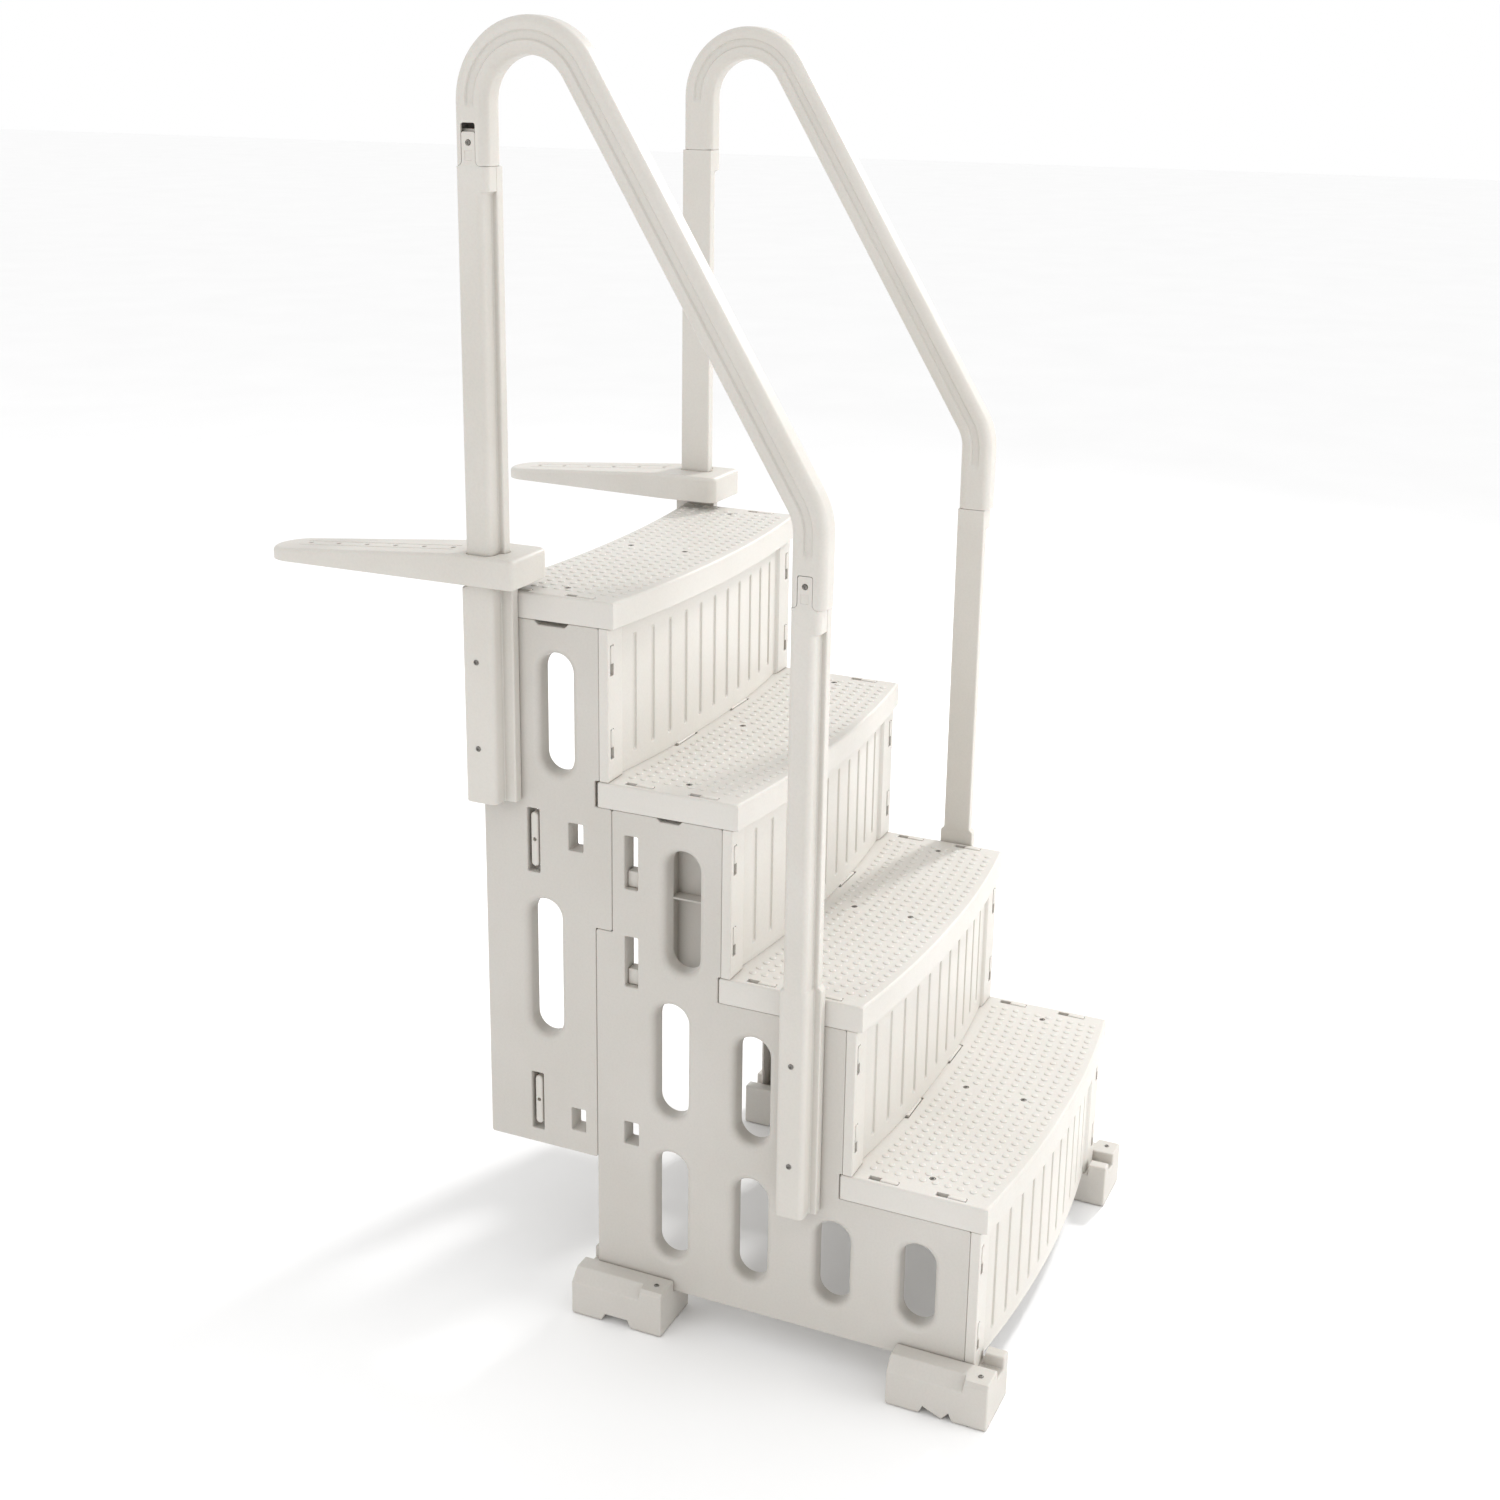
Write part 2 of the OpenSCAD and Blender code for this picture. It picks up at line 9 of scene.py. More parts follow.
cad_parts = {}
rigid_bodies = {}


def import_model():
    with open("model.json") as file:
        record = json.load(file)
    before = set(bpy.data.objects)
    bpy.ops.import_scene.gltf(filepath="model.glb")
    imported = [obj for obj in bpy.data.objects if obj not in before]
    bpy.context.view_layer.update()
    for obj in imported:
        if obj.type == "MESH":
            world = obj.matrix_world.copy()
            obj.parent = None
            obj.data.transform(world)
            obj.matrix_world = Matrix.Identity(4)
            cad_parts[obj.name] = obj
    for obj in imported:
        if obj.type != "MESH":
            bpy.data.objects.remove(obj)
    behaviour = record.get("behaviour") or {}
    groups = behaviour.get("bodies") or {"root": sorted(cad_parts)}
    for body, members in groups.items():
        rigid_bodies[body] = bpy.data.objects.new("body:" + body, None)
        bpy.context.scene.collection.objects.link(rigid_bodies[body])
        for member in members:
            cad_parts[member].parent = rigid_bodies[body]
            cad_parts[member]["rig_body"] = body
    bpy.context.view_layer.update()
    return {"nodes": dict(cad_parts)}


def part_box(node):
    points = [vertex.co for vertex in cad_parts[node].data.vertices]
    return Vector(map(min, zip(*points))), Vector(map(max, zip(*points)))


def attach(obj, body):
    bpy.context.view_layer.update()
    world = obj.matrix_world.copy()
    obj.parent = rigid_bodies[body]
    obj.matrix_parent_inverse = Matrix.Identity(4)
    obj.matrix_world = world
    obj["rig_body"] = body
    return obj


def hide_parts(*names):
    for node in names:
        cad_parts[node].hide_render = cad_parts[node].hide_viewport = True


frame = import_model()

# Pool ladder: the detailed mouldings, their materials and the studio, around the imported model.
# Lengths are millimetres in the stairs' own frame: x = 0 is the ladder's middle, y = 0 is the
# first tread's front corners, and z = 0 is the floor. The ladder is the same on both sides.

MM = 0.001


def box_mm(node):
    low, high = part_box(node)
    return low / MM, high / MM


# ---- Sizes that the frame gives ----

tread_low, tread_high = box_mm("tread_1")
second_low, second_high = box_mm("tread_2")
top_high = box_mm("tread_4")[1]
panel_low, panel_high = box_mm("lower_side_panel_left")
rear_panel_low = box_mm("rear_side_panel_left")[0]
rail_low, rail_high = box_mm("upper_rail_left")
flange_low, flange_high = box_mm("deck_flange_left")
front_leg_low_corner, front_leg_high_corner = box_mm("front_leg_left")
rear_leg_low_corner, rear_leg_high_corner = box_mm("rear_leg_left")

# How far the middle of a tread's front, and of a riser, stands out past its ends
BOW = 25
RISER_BOW = 20
# Where the stairs' own y = 0 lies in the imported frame
ORIGIN_Y = tread_low.y + BOW

STEPS = 4
HALF_W = tread_high.x
RISE = second_high.z - tread_high.z
RUN = second_low.y - tread_low.y
LIP = tread_high.z - tread_low.z
TREAD_D = tread_high.y - ORIGIN_Y
TOP_TREAD_D = top_high.y - ORIGIN_Y - (STEPS - 1) * RUN
FOOT_Z = panel_low.z
RISER_H = RISE - LIP
PANEL_T = panel_high.x - panel_low.x
WALL = 4
GAP = 0.3


def at(x, y, z):
    """A point of the stairs' frame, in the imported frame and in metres."""
    return Vector((x * MM, (y + ORIGIN_Y) * MM, z * MM))


# ---- Loops ----

def rounded(corners, radii, steps=5):
    """Closed loop through these corners, each with its own radius."""
    loop = []
    for i, corner in enumerate(corners):
        here = Vector(corner)
        back = (Vector(corners[i - 1]) - here).normalized()
        ahead = (Vector(corners[(i + 1) % len(corners)]) - here).normalized()
        turn = math.pi - back.angle(ahead)
        radius = radii[i]
        if radius == 0 or turn < 0.01:
            loop.append(here)
            continue
        centre = here + (back + ahead).normalized() * (radius / math.cos(turn / 2))
        start = here + back * (radius * math.tan(turn / 2)) - centre
        left = 1 if ahead.x * back.y - ahead.y * back.x > 0 else -1
        for k in range(steps + 1):
            angle = left * turn * k / steps
            spun = Vector((start.x * math.cos(angle) - start.y * math.sin(angle),
                           start.x * math.sin(angle) + start.y * math.cos(angle)))
            loop.append(centre + spun)
    return loop


def without_repeats(loop):
    return [p for i, p in enumerate(loop) if (p - loop[i - 1]).length > 0.001]


def rectangle(low, high, radius, steps=4):
    corners = [(low[0], low[1]), (high[0], low[1]), (high[0], high[1]), (low[0], high[1])]
    return without_repeats(rounded(corners, [radius] * 4, steps))


def upright_slot(middle, low, high, width):
    return rectangle((middle - width / 2, low), (middle + width / 2, high), width / 2, 8)


def circle(x, y, radius, count=20):
    angles = [math.tau * k / count for k in range(count)]
    return [Vector((x + radius * math.cos(a), y + radius * math.sin(a))) for a in angles]


def offset(loop, inset):
    """The loop moved to its left: into the material of an outline drawn counter-clockwise."""
    moved = []
    for i, here in enumerate(loop):
        a = (here - loop[i - 1]).normalized()
        b = (loop[(i + 1) % len(loop)] - here).normalized()
        normal = Vector((-a.y - b.y, a.x + b.x)).normalized()
        moved.append(here + normal * (inset / max(0.3, math.sqrt((1 + a.dot(b)) / 2))))
    return moved


def roll(radius, steps=4):
    """(inset, depth) steps of a quarter round, from the front face to the wall."""
    angles = [math.pi / 2 * k / steps for k in range(steps + 1)]
    return [(radius * (1 - math.sin(a)), radius * (1 - math.cos(a))) for a in angles]


def chamfered(width, depth):
    """Profile of a straight-sided recess with a small chamfer at its mouth."""
    return [(width, 0), (0, width), (0, depth)]


def eased(width, middle, depth):
    """The same, with a softer mouth in two steps."""
    return [(width, 0), (middle, middle), (0, width), (0, depth)]


def shell_edge(radius, depth):
    """Rolled edge, wall, and the wall's inner side back up to the underside of the skin."""
    outer, inner = 0.8, 0.6
    turned = [(0, depth - outer), (outer, depth), (WALL - inner, depth), (WALL, depth - inner)]
    return roll(radius) + turned + [(WALL, WALL)]


def slot_edge(radius, depth):
    """Widely rolled edge of a long slot, with the skin following it inside."""
    inside = [(WALL, radius), (WALL + radius * 0.2, radius * 0.55), (radius, WALL)]
    return roll(radius, 8) + [(0, depth - 0.8), (0.8, depth), (WALL, depth)] + inside


# ---- Meshes ----

class Build:
    """Points and faces of one piece."""

    def __init__(self):
        self.points = []
        self.faces = []

    def ring(self, points):
        start = len(self.points)
        self.points.extend(points)
        return list(range(start, len(self.points)))

    def bridge(self, a, b):
        for i in range(len(a)):
            j = (i + 1) % len(a)
            self.faces.append((a[i], a[j], b[j], b[i]))

    def cap(self, rings):
        indices = [i for ring in rings for i in ring]
        for face in tessellate_polygon([[self.points[i] for i in ring] for ring in rings]):
            self.faces.append(tuple(indices[i] for i in face))

    def loft(self, rings):
        """Closed solid through rings of equal count."""
        made = [self.ring(points) for points in rings]
        for a, b in zip(made, made[1:]):
            self.bridge(a, b)
        self.cap([made[0]])
        self.cap([made[-1]])

    def rim(self, place, loop, profile):
        made = [self.ring([place(p, depth) for p in offset(loop, inset)])
                for inset, depth in profile]
        for a, b in zip(made, made[1:]):
            self.bridge(a, b)
        return made

    def plate(self, place, outline, edge, holes=(), pockets=()):
        """Solid between two caps. Each loop has its own (inset, depth) profile between them."""
        rims = [self.rim(place, outline, edge)]
        rims += [self.rim(place, loop[::-1], profile) for loop, profile in holes]
        fronts = [made[0] for made in rims]
        self.cap([made[-1] for made in rims])
        for loop, profile in pockets:
            made = self.rim(place, loop[::-1], profile)
            fronts.append(made[0])
            self.cap([made[-1]])
        self.cap(fronts)

    def block(self, low, high, side=1):
        """Box with softened edges, mirrored when side is -1."""
        def place(p, depth):
            return at(side * p[0], p[1], high[2] - depth)
        height = high[2] - low[2]
        soft = 0.5
        profile = [(soft, 0), (0, soft), (0, height - soft), (soft, height)]
        self.plate(place, rectangle(low, high, soft, 1), profile)


def mesh_of(build, name):
    mesh = bpy.data.meshes.new(name)
    mesh.from_pydata(build.points, [], build.faces)
    work = bmesh.new()
    work.from_mesh(mesh)
    bmesh.ops.recalc_face_normals(work, faces=work.faces)
    work.to_mesh(mesh)
    work.free()
    return mesh


def piece(build, name, node, material):
    """Shades a build, and puts it in place of its CAD node, on that node's body."""
    mesh = build if isinstance(build, bpy.types.Mesh) else mesh_of(build, name)
    mesh.shade_smooth()
    mesh.set_sharp_from_angle(angle=math.radians(38))
    obj = bpy.data.objects.new(name, mesh)
    bpy.context.scene.collection.objects.link(obj)
    obj.data.materials.append(material)
    weighted = obj.modifiers.new("Even shading", "WEIGHTED_NORMAL")
    weighted.keep_sharp = True
    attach(obj, frame["nodes"][node]["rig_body"])
    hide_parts(node)
    return obj


# ---- Materials ----

def node_of(tree, kind, **values):
    made = tree.nodes.new(kind)
    for name, value in values.items():
        if name in made.inputs:
            made.inputs[name].default_value = value
        else:
            setattr(made, name, value)
    return made


def noise(tree, place, scale, detail=4.0, roughness=0.55):
    made = node_of(tree, "ShaderNodeTexNoise", Scale=scale, Detail=detail, Roughness=roughness)
    tree.links.new(place, made.inputs["Vector"])
    return made.outputs["Fac"]


def ramp(tree, value, stops):
    made = tree.nodes.new("ShaderNodeValToRGB")
    elements = made.color_ramp.elements
    while len(elements) < len(stops):
        elements.new(0.5)
    for element, (position, colour) in zip(elements, stops):
        element.position = position
        element.color = (*colour, 1)
    tree.links.new(value, made.inputs["Fac"])
    return made.outputs["Color"]


def mixed(tree, share, a, b, mode="MIX"):
    made = node_of(tree, "ShaderNodeMix", data_type="RGBA", blend_type=mode)
    for value, socket in ((share, made.inputs[0]), (a, made.inputs[6]), (b, made.inputs[7])):
        if isinstance(value, bpy.types.NodeSocket):
            tree.links.new(value, socket)
        else:
            socket.default_value = value
    return made.outputs[2]


def ranged(tree, value, low, high):
    made = tree.nodes.new("ShaderNodeMapRange")
    made.inputs["To Min"].default_value = low
    made.inputs["To Max"].default_value = high
    tree.links.new(value, made.inputs["Value"])
    return made.outputs["Result"]


def grey(value):
    return (value, value, value)


def moulded_plastic(name, colour, grain=0.14, gloss=0.46, painted_shade_share=0.45):
    """Moulded plastic: clouded colour, painted shade in its seams and creases (browned like grime),
    worn edges, fine grain.
    """
    material = bpy.data.materials.new(name)
    material.use_nodes = True
    tree = material.node_tree
    shader = tree.nodes["Principled BSDF"]
    place = tree.nodes.new("ShaderNodeTexCoord").outputs["Object"]
    pale = tuple(min(1, c * 1.035) for c in colour)
    deep = tuple(c * f for c, f in zip(colour, (0.945, 0.94, 0.925)))
    clouds = ramp(tree, noise(tree, place, 3.2, 5), [(0.3, deep), (0.72, pale)])
    specks = ramp(tree, noise(tree, place, 260, 2), [(0.3, grey(0.93)), (0.6, grey(1))])
    base = mixed(tree, 0.5, clouds, specks, "MULTIPLY")
    # Painted shade: ambient occlusion darkens and browns the colour in seams, creases and recesses,
    # where shade falls.
    crease = node_of(tree, "ShaderNodeAmbientOcclusion", samples=6, Distance=0.012)
    painted_crease_shade = ramp(tree, crease.outputs["AO"], [(0.15, (0.3, 0.24, 0.17)), (0.8, grey(1))])
    base = mixed(tree, painted_shade_share, base, painted_crease_shade, "MULTIPLY")
    edge = tree.nodes.new("ShaderNodeNewGeometry").outputs["Pointiness"]
    worn = ramp(tree, edge, [(0.52, grey(0)), (0.6, grey(0.35))])
    base = mixed(tree, worn, base, (*[min(1, c * 1.12) for c in colour], 1))
    tree.links.new(base, shader.inputs["Base Color"])
    shine = ranged(tree, noise(tree, place, 14, 5), gloss - 0.07, gloss + 0.09)
    tree.links.new(shine, shader.inputs["Roughness"])
    fine = node_of(tree, "ShaderNodeBump", Strength=grain, Distance=0.0004)
    tree.links.new(noise(tree, place, 900, 3), fine.inputs["Height"])
    peel = node_of(tree, "ShaderNodeBump", Strength=0.12, Distance=0.0015)
    tree.links.new(noise(tree, place, 70, 2), peel.inputs["Height"])
    tree.links.new(fine.outputs["Normal"], peel.inputs["Normal"])
    tree.links.new(peel.outputs["Normal"], shader.inputs["Normal"])
    shader.inputs["Specular IOR Level"].default_value = 0.42
    shader.inputs["Subsurface Weight"].default_value = 0.06
    shader.inputs["Subsurface Scale"].default_value = 0.004
    return material


def screw_steel(name):
    """Stainless screws, dulled by water, with fine turning marks."""
    material = bpy.data.materials.new(name)
    material.use_nodes = True
    tree = material.node_tree
    shader = tree.nodes["Principled BSDF"]
    place = tree.nodes.new("ShaderNodeTexCoord").outputs["Object"]
    dark, bright = (0.11, 0.1, 0.09), (0.3, 0.29, 0.27)
    tone = ramp(tree, noise(tree, place, 220, 4), [(0.3, dark), (0.7, bright)])
    tree.links.new(tone, shader.inputs["Base Color"])
    shader.inputs["Metallic"].default_value = 0.85
    shine = ranged(tree, noise(tree, place, 500, 3), 0.32, 0.55)
    tree.links.new(shine, shader.inputs["Roughness"])
    marks = node_of(tree, "ShaderNodeBump", Strength=0.25, Distance=0.0002)
    tree.links.new(noise(tree, place, 1800, 2), marks.inputs["Height"])
    tree.links.new(marks.outputs["Normal"], shader.inputs["Normal"])
    return material


# The panel tone is darker than the tread, riser and rail tones. This is painted shade: a shaded copy
# of the same plastic, used for the side panels and the feet.
TREAD_TONE = (0.63, 0.607, 0.57)
RISER_TONE = (0.64, 0.615, 0.575)
SHADED_PANEL_TONE = (0.57, 0.545, 0.508)
RAIL_TONE = (0.62, 0.594, 0.553)
tread_plastic = moulded_plastic("tread_plastic_look", TREAD_TONE, grain=0.2, gloss=0.5)
riser_plastic = moulded_plastic("riser_plastic_look", RISER_TONE, gloss=0.42)
panel_plastic = moulded_plastic("panel_plastic_look", SHADED_PANEL_TONE, gloss=0.45)
rail_plastic = moulded_plastic("rail_plastic_look", RAIL_TONE, gloss=0.42)
flange_plastic = moulded_plastic("flange_plastic_look", RAIL_TONE, gloss=0.44)
foot_plastic = moulded_plastic("foot_plastic_look", SHADED_PANEL_TONE, grain=0.2, gloss=0.5)
latch_plastic = moulded_plastic("latch_plastic_look", RISER_TONE, gloss=0.4)
steel = screw_steel("screw_steel_look")


# ---- Treads ----

BOW_R = (HALF_W ** 2 + BOW ** 2) / (2 * BOW)
TREAD_CORNER = 7
TREAD_ROLL = 4.5
DIMPLE_R = 5.6
DIMPLE_H = 1.3
DIMPLE_PITCH = 20.6
DIMPLE_ROW_PITCH = DIMPLE_PITCH * 0.985
DIMPLE_COLUMNS = 31
DIMPLE_ROWS = 10
# The first row, behind the front edge, and the bare circle around a screw
DIMPLE_FRONT = 21
DIMPLE_CLEAR = 12
# A dimple's rings: (share of its radius, share of its height)
DIMPLE_STEPS = ((1, -0.5), (1, 0.2), (0.9, 0.72), (0.72, 0.94), (0.3, 1))
LATCH_X = HALF_W - 14
LATCH_W = 10
# Half of a latch's slot, and how far the latch reaches from the slot's end past its middle
LATCH_SLOT = 24
LATCH_PAST = 5
LATCH_LEDGE = 12
LATCH_ROUND = 1.2
LATCH_PROUD = 1.2
TREAD_LATCHES = (62, 171)
RISER_LATCHES = (60, 194)
TREAD_SCREWS = ((-HALF_W + 52, 105), (HALF_W - 52, 105), (0, 50), (0, 150))
TREAD_RECESS_R = 5.2
TREAD_RECESS_D = 2.2
# Hooks of the riser in slots of the tread below it: their middle and half length, and where
# the slot starts and ends from the riser's face
HOOK_X = 104
HOOK_HALF = 38
HOOK_SLOT = (-4.6, 2.8)
HOOK_SLOT_D = 3.2
# Ribs under a tread
RIB_T = 3
RIB_UP = 8
RIB_STEP = (HALF_W * 2 - 140) / 3
RIB_Y = (12, 128)


def front_y(x):
    """Front edge of a tread, from its corners."""
    return BOW_R - BOW - math.sqrt(BOW_R ** 2 - x ** 2)


def tread_loop(depth, bowed_back):
    xs = [HALF_W * k / 24 for k in range(-24, 25)]
    front = [(x, front_y(x)) for x in xs]
    back = [(x, depth + (front_y(x) if bowed_back else 0)) for x in reversed(xs)]
    near, far = front_y(HALF_W) - 0.6, back[0][1]
    trim = TREAD_CORNER * 0.3
    loop = front[1:-1] + [(HALF_W - trim, near), (HALF_W, TREAD_CORNER)]
    loop += [(HALF_W, far - 3), (HALF_W - 3, far - 0.2)]
    loop += back[1:-1] if bowed_back else []
    loop += [(-HALF_W + 3, far - 0.2), (-HALF_W, far - 3)]
    loop += [(-HALF_W, TREAD_CORNER), (-HALF_W + trim, near)]
    return [Vector(p) for p in loop]


def latch_hole(side, middle):
    """Slot for a latch, with the clearance around it."""
    half = LATCH_W / 2 + GAP
    return rectangle((side * LATCH_X - half, middle - LATCH_SLOT - GAP),
                     (side * LATCH_X + half, middle + LATCH_SLOT + GAP), LATCH_ROUND)


def dimples(build, y0, z):
    """Low round studs in rows that follow the tread's front edge."""
    for column in range(DIMPLE_COLUMNS):
        x = (column - (DIMPLE_COLUMNS - 1) / 2) * DIMPLE_PITCH
        for row in range(DIMPLE_ROWS):
            y = front_y(x) + DIMPLE_FRONT + row * DIMPLE_ROW_PITCH
            if any(math.hypot(x - sx, y - sy) <= DIMPLE_CLEAR for sx, sy in TREAD_SCREWS):
                continue
            build.loft([[at(p.x, p.y + y0, z + DIMPLE_H * height)
                         for p in circle(x, y, DIMPLE_R * share, 12)]
                        for share, height in DIMPLE_STEPS])


def tread_ribs(build, y0, top, depth, bowed_back):
    low, high = top - LIP + RIB_UP, top - WALL + 1
    clear = 2
    for i in (-1.5, -0.5, 0.5, 1.5):
        x = i * RIB_STEP
        back = depth - clear + (min(0, front_y(x)) if bowed_back else 0)
        build.block((x - RIB_T / 2, y0 + front_y(x) + clear, low), (x + RIB_T / 2, y0 + back, high))
    for y in RIB_Y:
        build.block((-HALF_W + clear, y0 + y - RIB_T / 2, low),
                    (HALF_W - clear, y0 + y + RIB_T / 2, high))


def make_tread(n):
    y0 = (n - 1) * RUN
    top = FOOT_Z + n * RISE
    is_top = n == STEPS
    depth = TOP_TREAD_D if is_top else TREAD_D

    def place(p, down):
        return at(p[0], p[1] + y0, top - down)

    ledge = LIP - LATCH_LEDGE
    hole_edge = eased(0.9, 0.25, ledge) + [(1.6, ledge), (1.6, WALL)]
    holes = [(latch_hole(side, y), hole_edge) for side in (-1, 1) for y in TREAD_LATCHES]
    pockets = [(circle(x, y, TREAD_RECESS_R, 16), eased(0.6, 0.15, TREAD_RECESS_D))
               for x, y in TREAD_SCREWS]
    if not is_top:
        face = RUN + riser_face(HOOK_X)
        for side in (-1, 1):
            loop = rectangle((side * HOOK_X - HOOK_HALF, face + HOOK_SLOT[0]),
                             (side * HOOK_X + HOOK_HALF, face + HOOK_SLOT[1]), 1.5)
            pockets.append((loop, chamfered(0.5, HOOK_SLOT_D)))
    build = Build()
    build.plate(place, tread_loop(depth, is_top), shell_edge(TREAD_ROLL, LIP), holes, pockets)
    tread_ribs(build, y0, top, depth, is_top)
    dimples(build, y0, top)
    piece(build, f"tread_{n}_moulding", f"tread_{n}", tread_plastic)


# ---- Risers ----

POST_W = 47
POST_Y = 8
POST_END_Y = 24
POST_D = POST_END_Y - GAP - POST_Y
SHEET_HALF = HALF_W - POST_W
SHEET_Y = 14
SHEET_T = 6
RISER_BOW_R = (SHEET_HALF ** 2 + RISER_BOW ** 2) / (2 * RISER_BOW)
GROOVES = 11
GROOVE_SIDE = 43
GROOVE_END = 26
# Half of a groove's width at its mouth and at its floor, and its depth
GROOVE_HALF = 6.2
GROOVE_FLOOR = 4.2
GROOVE_D = 3.2
GROOVE_PITCH = 2 * (SHEET_HALF - GROOVE_SIDE) / (GROOVES - 1)
GROOVE_COLUMNS = [-SHEET_HALF + GROOVE_SIDE + i * GROOVE_PITCH for i in range(GROOVES)]
# Width and height of the step from the bowed sheet up to a post
STEP_W = 6
STEP_H = SHEET_Y - POST_Y - 0.8


def smooth_step(value):
    value = max(0.0, min(1.0, value))
    return value * value * (3 - 2 * value)


def riser_face(x):
    return SHEET_Y - RISER_BOW + RISER_BOW_R - math.sqrt(RISER_BOW_R ** 2 - x ** 2)


def sheet_depth(x, z):
    """How far the riser's face lies behind its bow: grooves, and the step up to the posts."""
    near = min(GROOVE_COLUMNS, key=lambda g: abs(g - x))
    past = max(0, GROOVE_END + GROOVE_HALF - z, z - (RISER_H - GROOVE_END - GROOVE_HALF))
    away = math.hypot(x - near, past)
    groove = GROOVE_D * smooth_step((GROOVE_HALF - away) / (GROOVE_HALF - GROOVE_FLOOR))
    return groove - STEP_H * smooth_step((abs(x) - SHEET_HALF + STEP_W) / STEP_W)


def sheet_columns():
    """Places across a riser where its mesh has points: closest at the grooves and steps."""
    walls = [GROOVE_FLOOR + (GROOVE_HALF - GROOVE_FLOOR) * share for share in (0, 0.2, 0.4, 0.7, 1)]
    offsets = [0] + walls + [-wall for wall in walls]
    xs = {round(g + o, 3) for g in GROOVE_COLUMNS for o in offsets}
    xs |= {round(g + GROOVE_PITCH * k / 4, 3) for g in GROOVE_COLUMNS[:-1] for k in (1, 2, 3)}
    for edge in [STEP_W * k / 4 for k in range(5)] + [8, 22]:
        xs |= {SHEET_HALF - edge, edge - SHEET_HALF}
    return sorted(xs)


def sheet_rows():
    low = [GAP, 6, 14] + [GROOVE_END + o for o in (-1, 0, 0.8, 1.4, 2, 3.5, 6.2)]
    return low + [RISER_H / 2] + [RISER_H - z for z in reversed(low)]


def riser_sheet(build, y0, z0):
    xs = sheet_columns()
    made = []
    for z in sheet_rows():
        front = [at(x, y0 + riser_face(x) + sheet_depth(x, z), z0 + z) for x in xs]
        back = [at(x, y0 + riser_face(x) + SHEET_T, z0 + z) for x in reversed(xs)]
        made.append(build.ring(front + back))
    for a, b in zip(made, made[1:]):
        build.bridge(a, b)
    last = 2 * len(xs) - 1
    for ring in (made[0], made[-1]):
        for i in range(len(xs) - 1):
            build.faces.append((ring[i], ring[i + 1], ring[last - 1 - i], ring[last - i]))


def make_riser(n):
    y0 = (n - 1) * RUN
    z0 = FOOT_Z + (n - 1) * RISE
    build = Build()
    riser_sheet(build, y0, z0)
    outline = rectangle((SHEET_HALF, GAP), (HALF_W, RISER_H - GAP), 2.2)
    edge = roll(2) + [(0, POST_D - 0.5), (0.5, POST_D)]
    holes = [(latch_hole(1, z), eased(0.9, 0.25, POST_D)) for z in RISER_LATCHES]
    face = y0 + riser_face(HOOK_X)
    half = HOOK_HALF - 7
    for side in (-1, 1):
        def place(p, depth, side=side):
            return at(side * p[0], y0 + POST_Y + depth, z0 + p[1])
        build.plate(place, outline, edge, holes)
        if n > 1:
            middle = side * HOOK_X
            build.block((middle - half, face - 3.4, z0 - 2.6), (middle + half, face + 3, z0 + 2.2))
    piece(build, f"riser_{n}_moulding", f"riser_{n}", riser_plastic)


# ---- Latches ----

def latch_loop(middle, low, high, round_low):
    soft, blunt = LATCH_W * 0.42, LATCH_ROUND
    radii = [soft, soft, blunt, blunt] if round_low else [blunt, blunt, soft, soft]
    corners = [(middle - LATCH_W / 2, low), (middle + LATCH_W / 2, low),
               (middle + LATCH_W / 2, high), (middle - LATCH_W / 2, high)]
    return rounded(corners, radii)


def latch_edge(length):
    return roll(1.6) + [(0, length), (0.6, length + 0.6)]


def make_latches():
    build = Build()
    for n in range(1, STEPS + 1):
        for side in (-1, 1):
            for y in TREAD_LATCHES:
                def place(p, depth, n=n):
                    return at(p[0], p[1] + (n - 1) * RUN, FOOT_Z + n * RISE + LATCH_PROUD - depth)
                loop = latch_loop(side * LATCH_X, y - LATCH_SLOT, y + LATCH_PAST, True)
                build.plate(place, loop, latch_edge(LIP))
    piece(build, "tread_latches_moulding", "tread_latches", latch_plastic)
    build = Build()
    for n in range(1, STEPS + 1):
        for side in (-1, 1):
            for z in RISER_LATCHES:
                def place(p, depth, n=n):
                    return at(p[0], (n - 1) * RUN + POST_Y - LATCH_PROUD + depth,
                              FOOT_Z + (n - 1) * RISE + p[1])
                loop = latch_loop(side * LATCH_X, z - LATCH_PAST, z + LATCH_SLOT, False)
                build.plate(place, loop, latch_edge(16))
    piece(build, "riser_latches_moulding", "riser_latches", latch_plastic)


# ---- Side panels ----

SLOT_W = 58
SLOT_ROLL = 12
WINDOW_ROLL = 2.2
WINDOW_WALL = 2.4
LOWER_BACK_Y = 662
STEP_BACK_Y = 633
STEP_BACK_Z = 617
REAR_BACK_Y = 862
REAR_LOW_Z = rear_panel_low.z - FOOT_Z
LOWER_SLOTS = ((108, 55, 197), (249, 53, 198), (390, 55, 237), (531, 56, 249),
               (390, 300, 484), (531, 312, 510), (512, 568, 771))
REAR_SLOTS = ((756, 409, 647), (731, 863, 1059))
LOWER_WINDOWS = ((588, 528, 23, 86), (588, 694, 23, 89), (587, 249, 26, 40))
REAR_WINDOWS = ((684, 250, 26, 40), (684, 741, 26, 46))
KEY_SLOTS = ((762, 236, 22, 103), (762, 693, 22, 108))
LOWER_NOTCH = (512, 556, 6)
REAR_NOTCH = (706, 766, 7)
# The keys' clearance in their slots, and the height of the hooks in two of the windows
KEY_CLEAR = 4
HOOK_H = 27
# Ribs inside the panels: height, and where each stretch starts and ends
LOWER_RIBS = ((272, 242, 584), (272, 616, 660), (545, 451, 585), (545, 614, 660))
REAR_RIBS = ((372, 664, 860), (668, 636, 860), (842, 664, 860))


def notch_corners(notch, top):
    low, high, depth = notch
    return [(high, top), (high - depth, top - depth), (low + depth, top - depth), (low, top)]


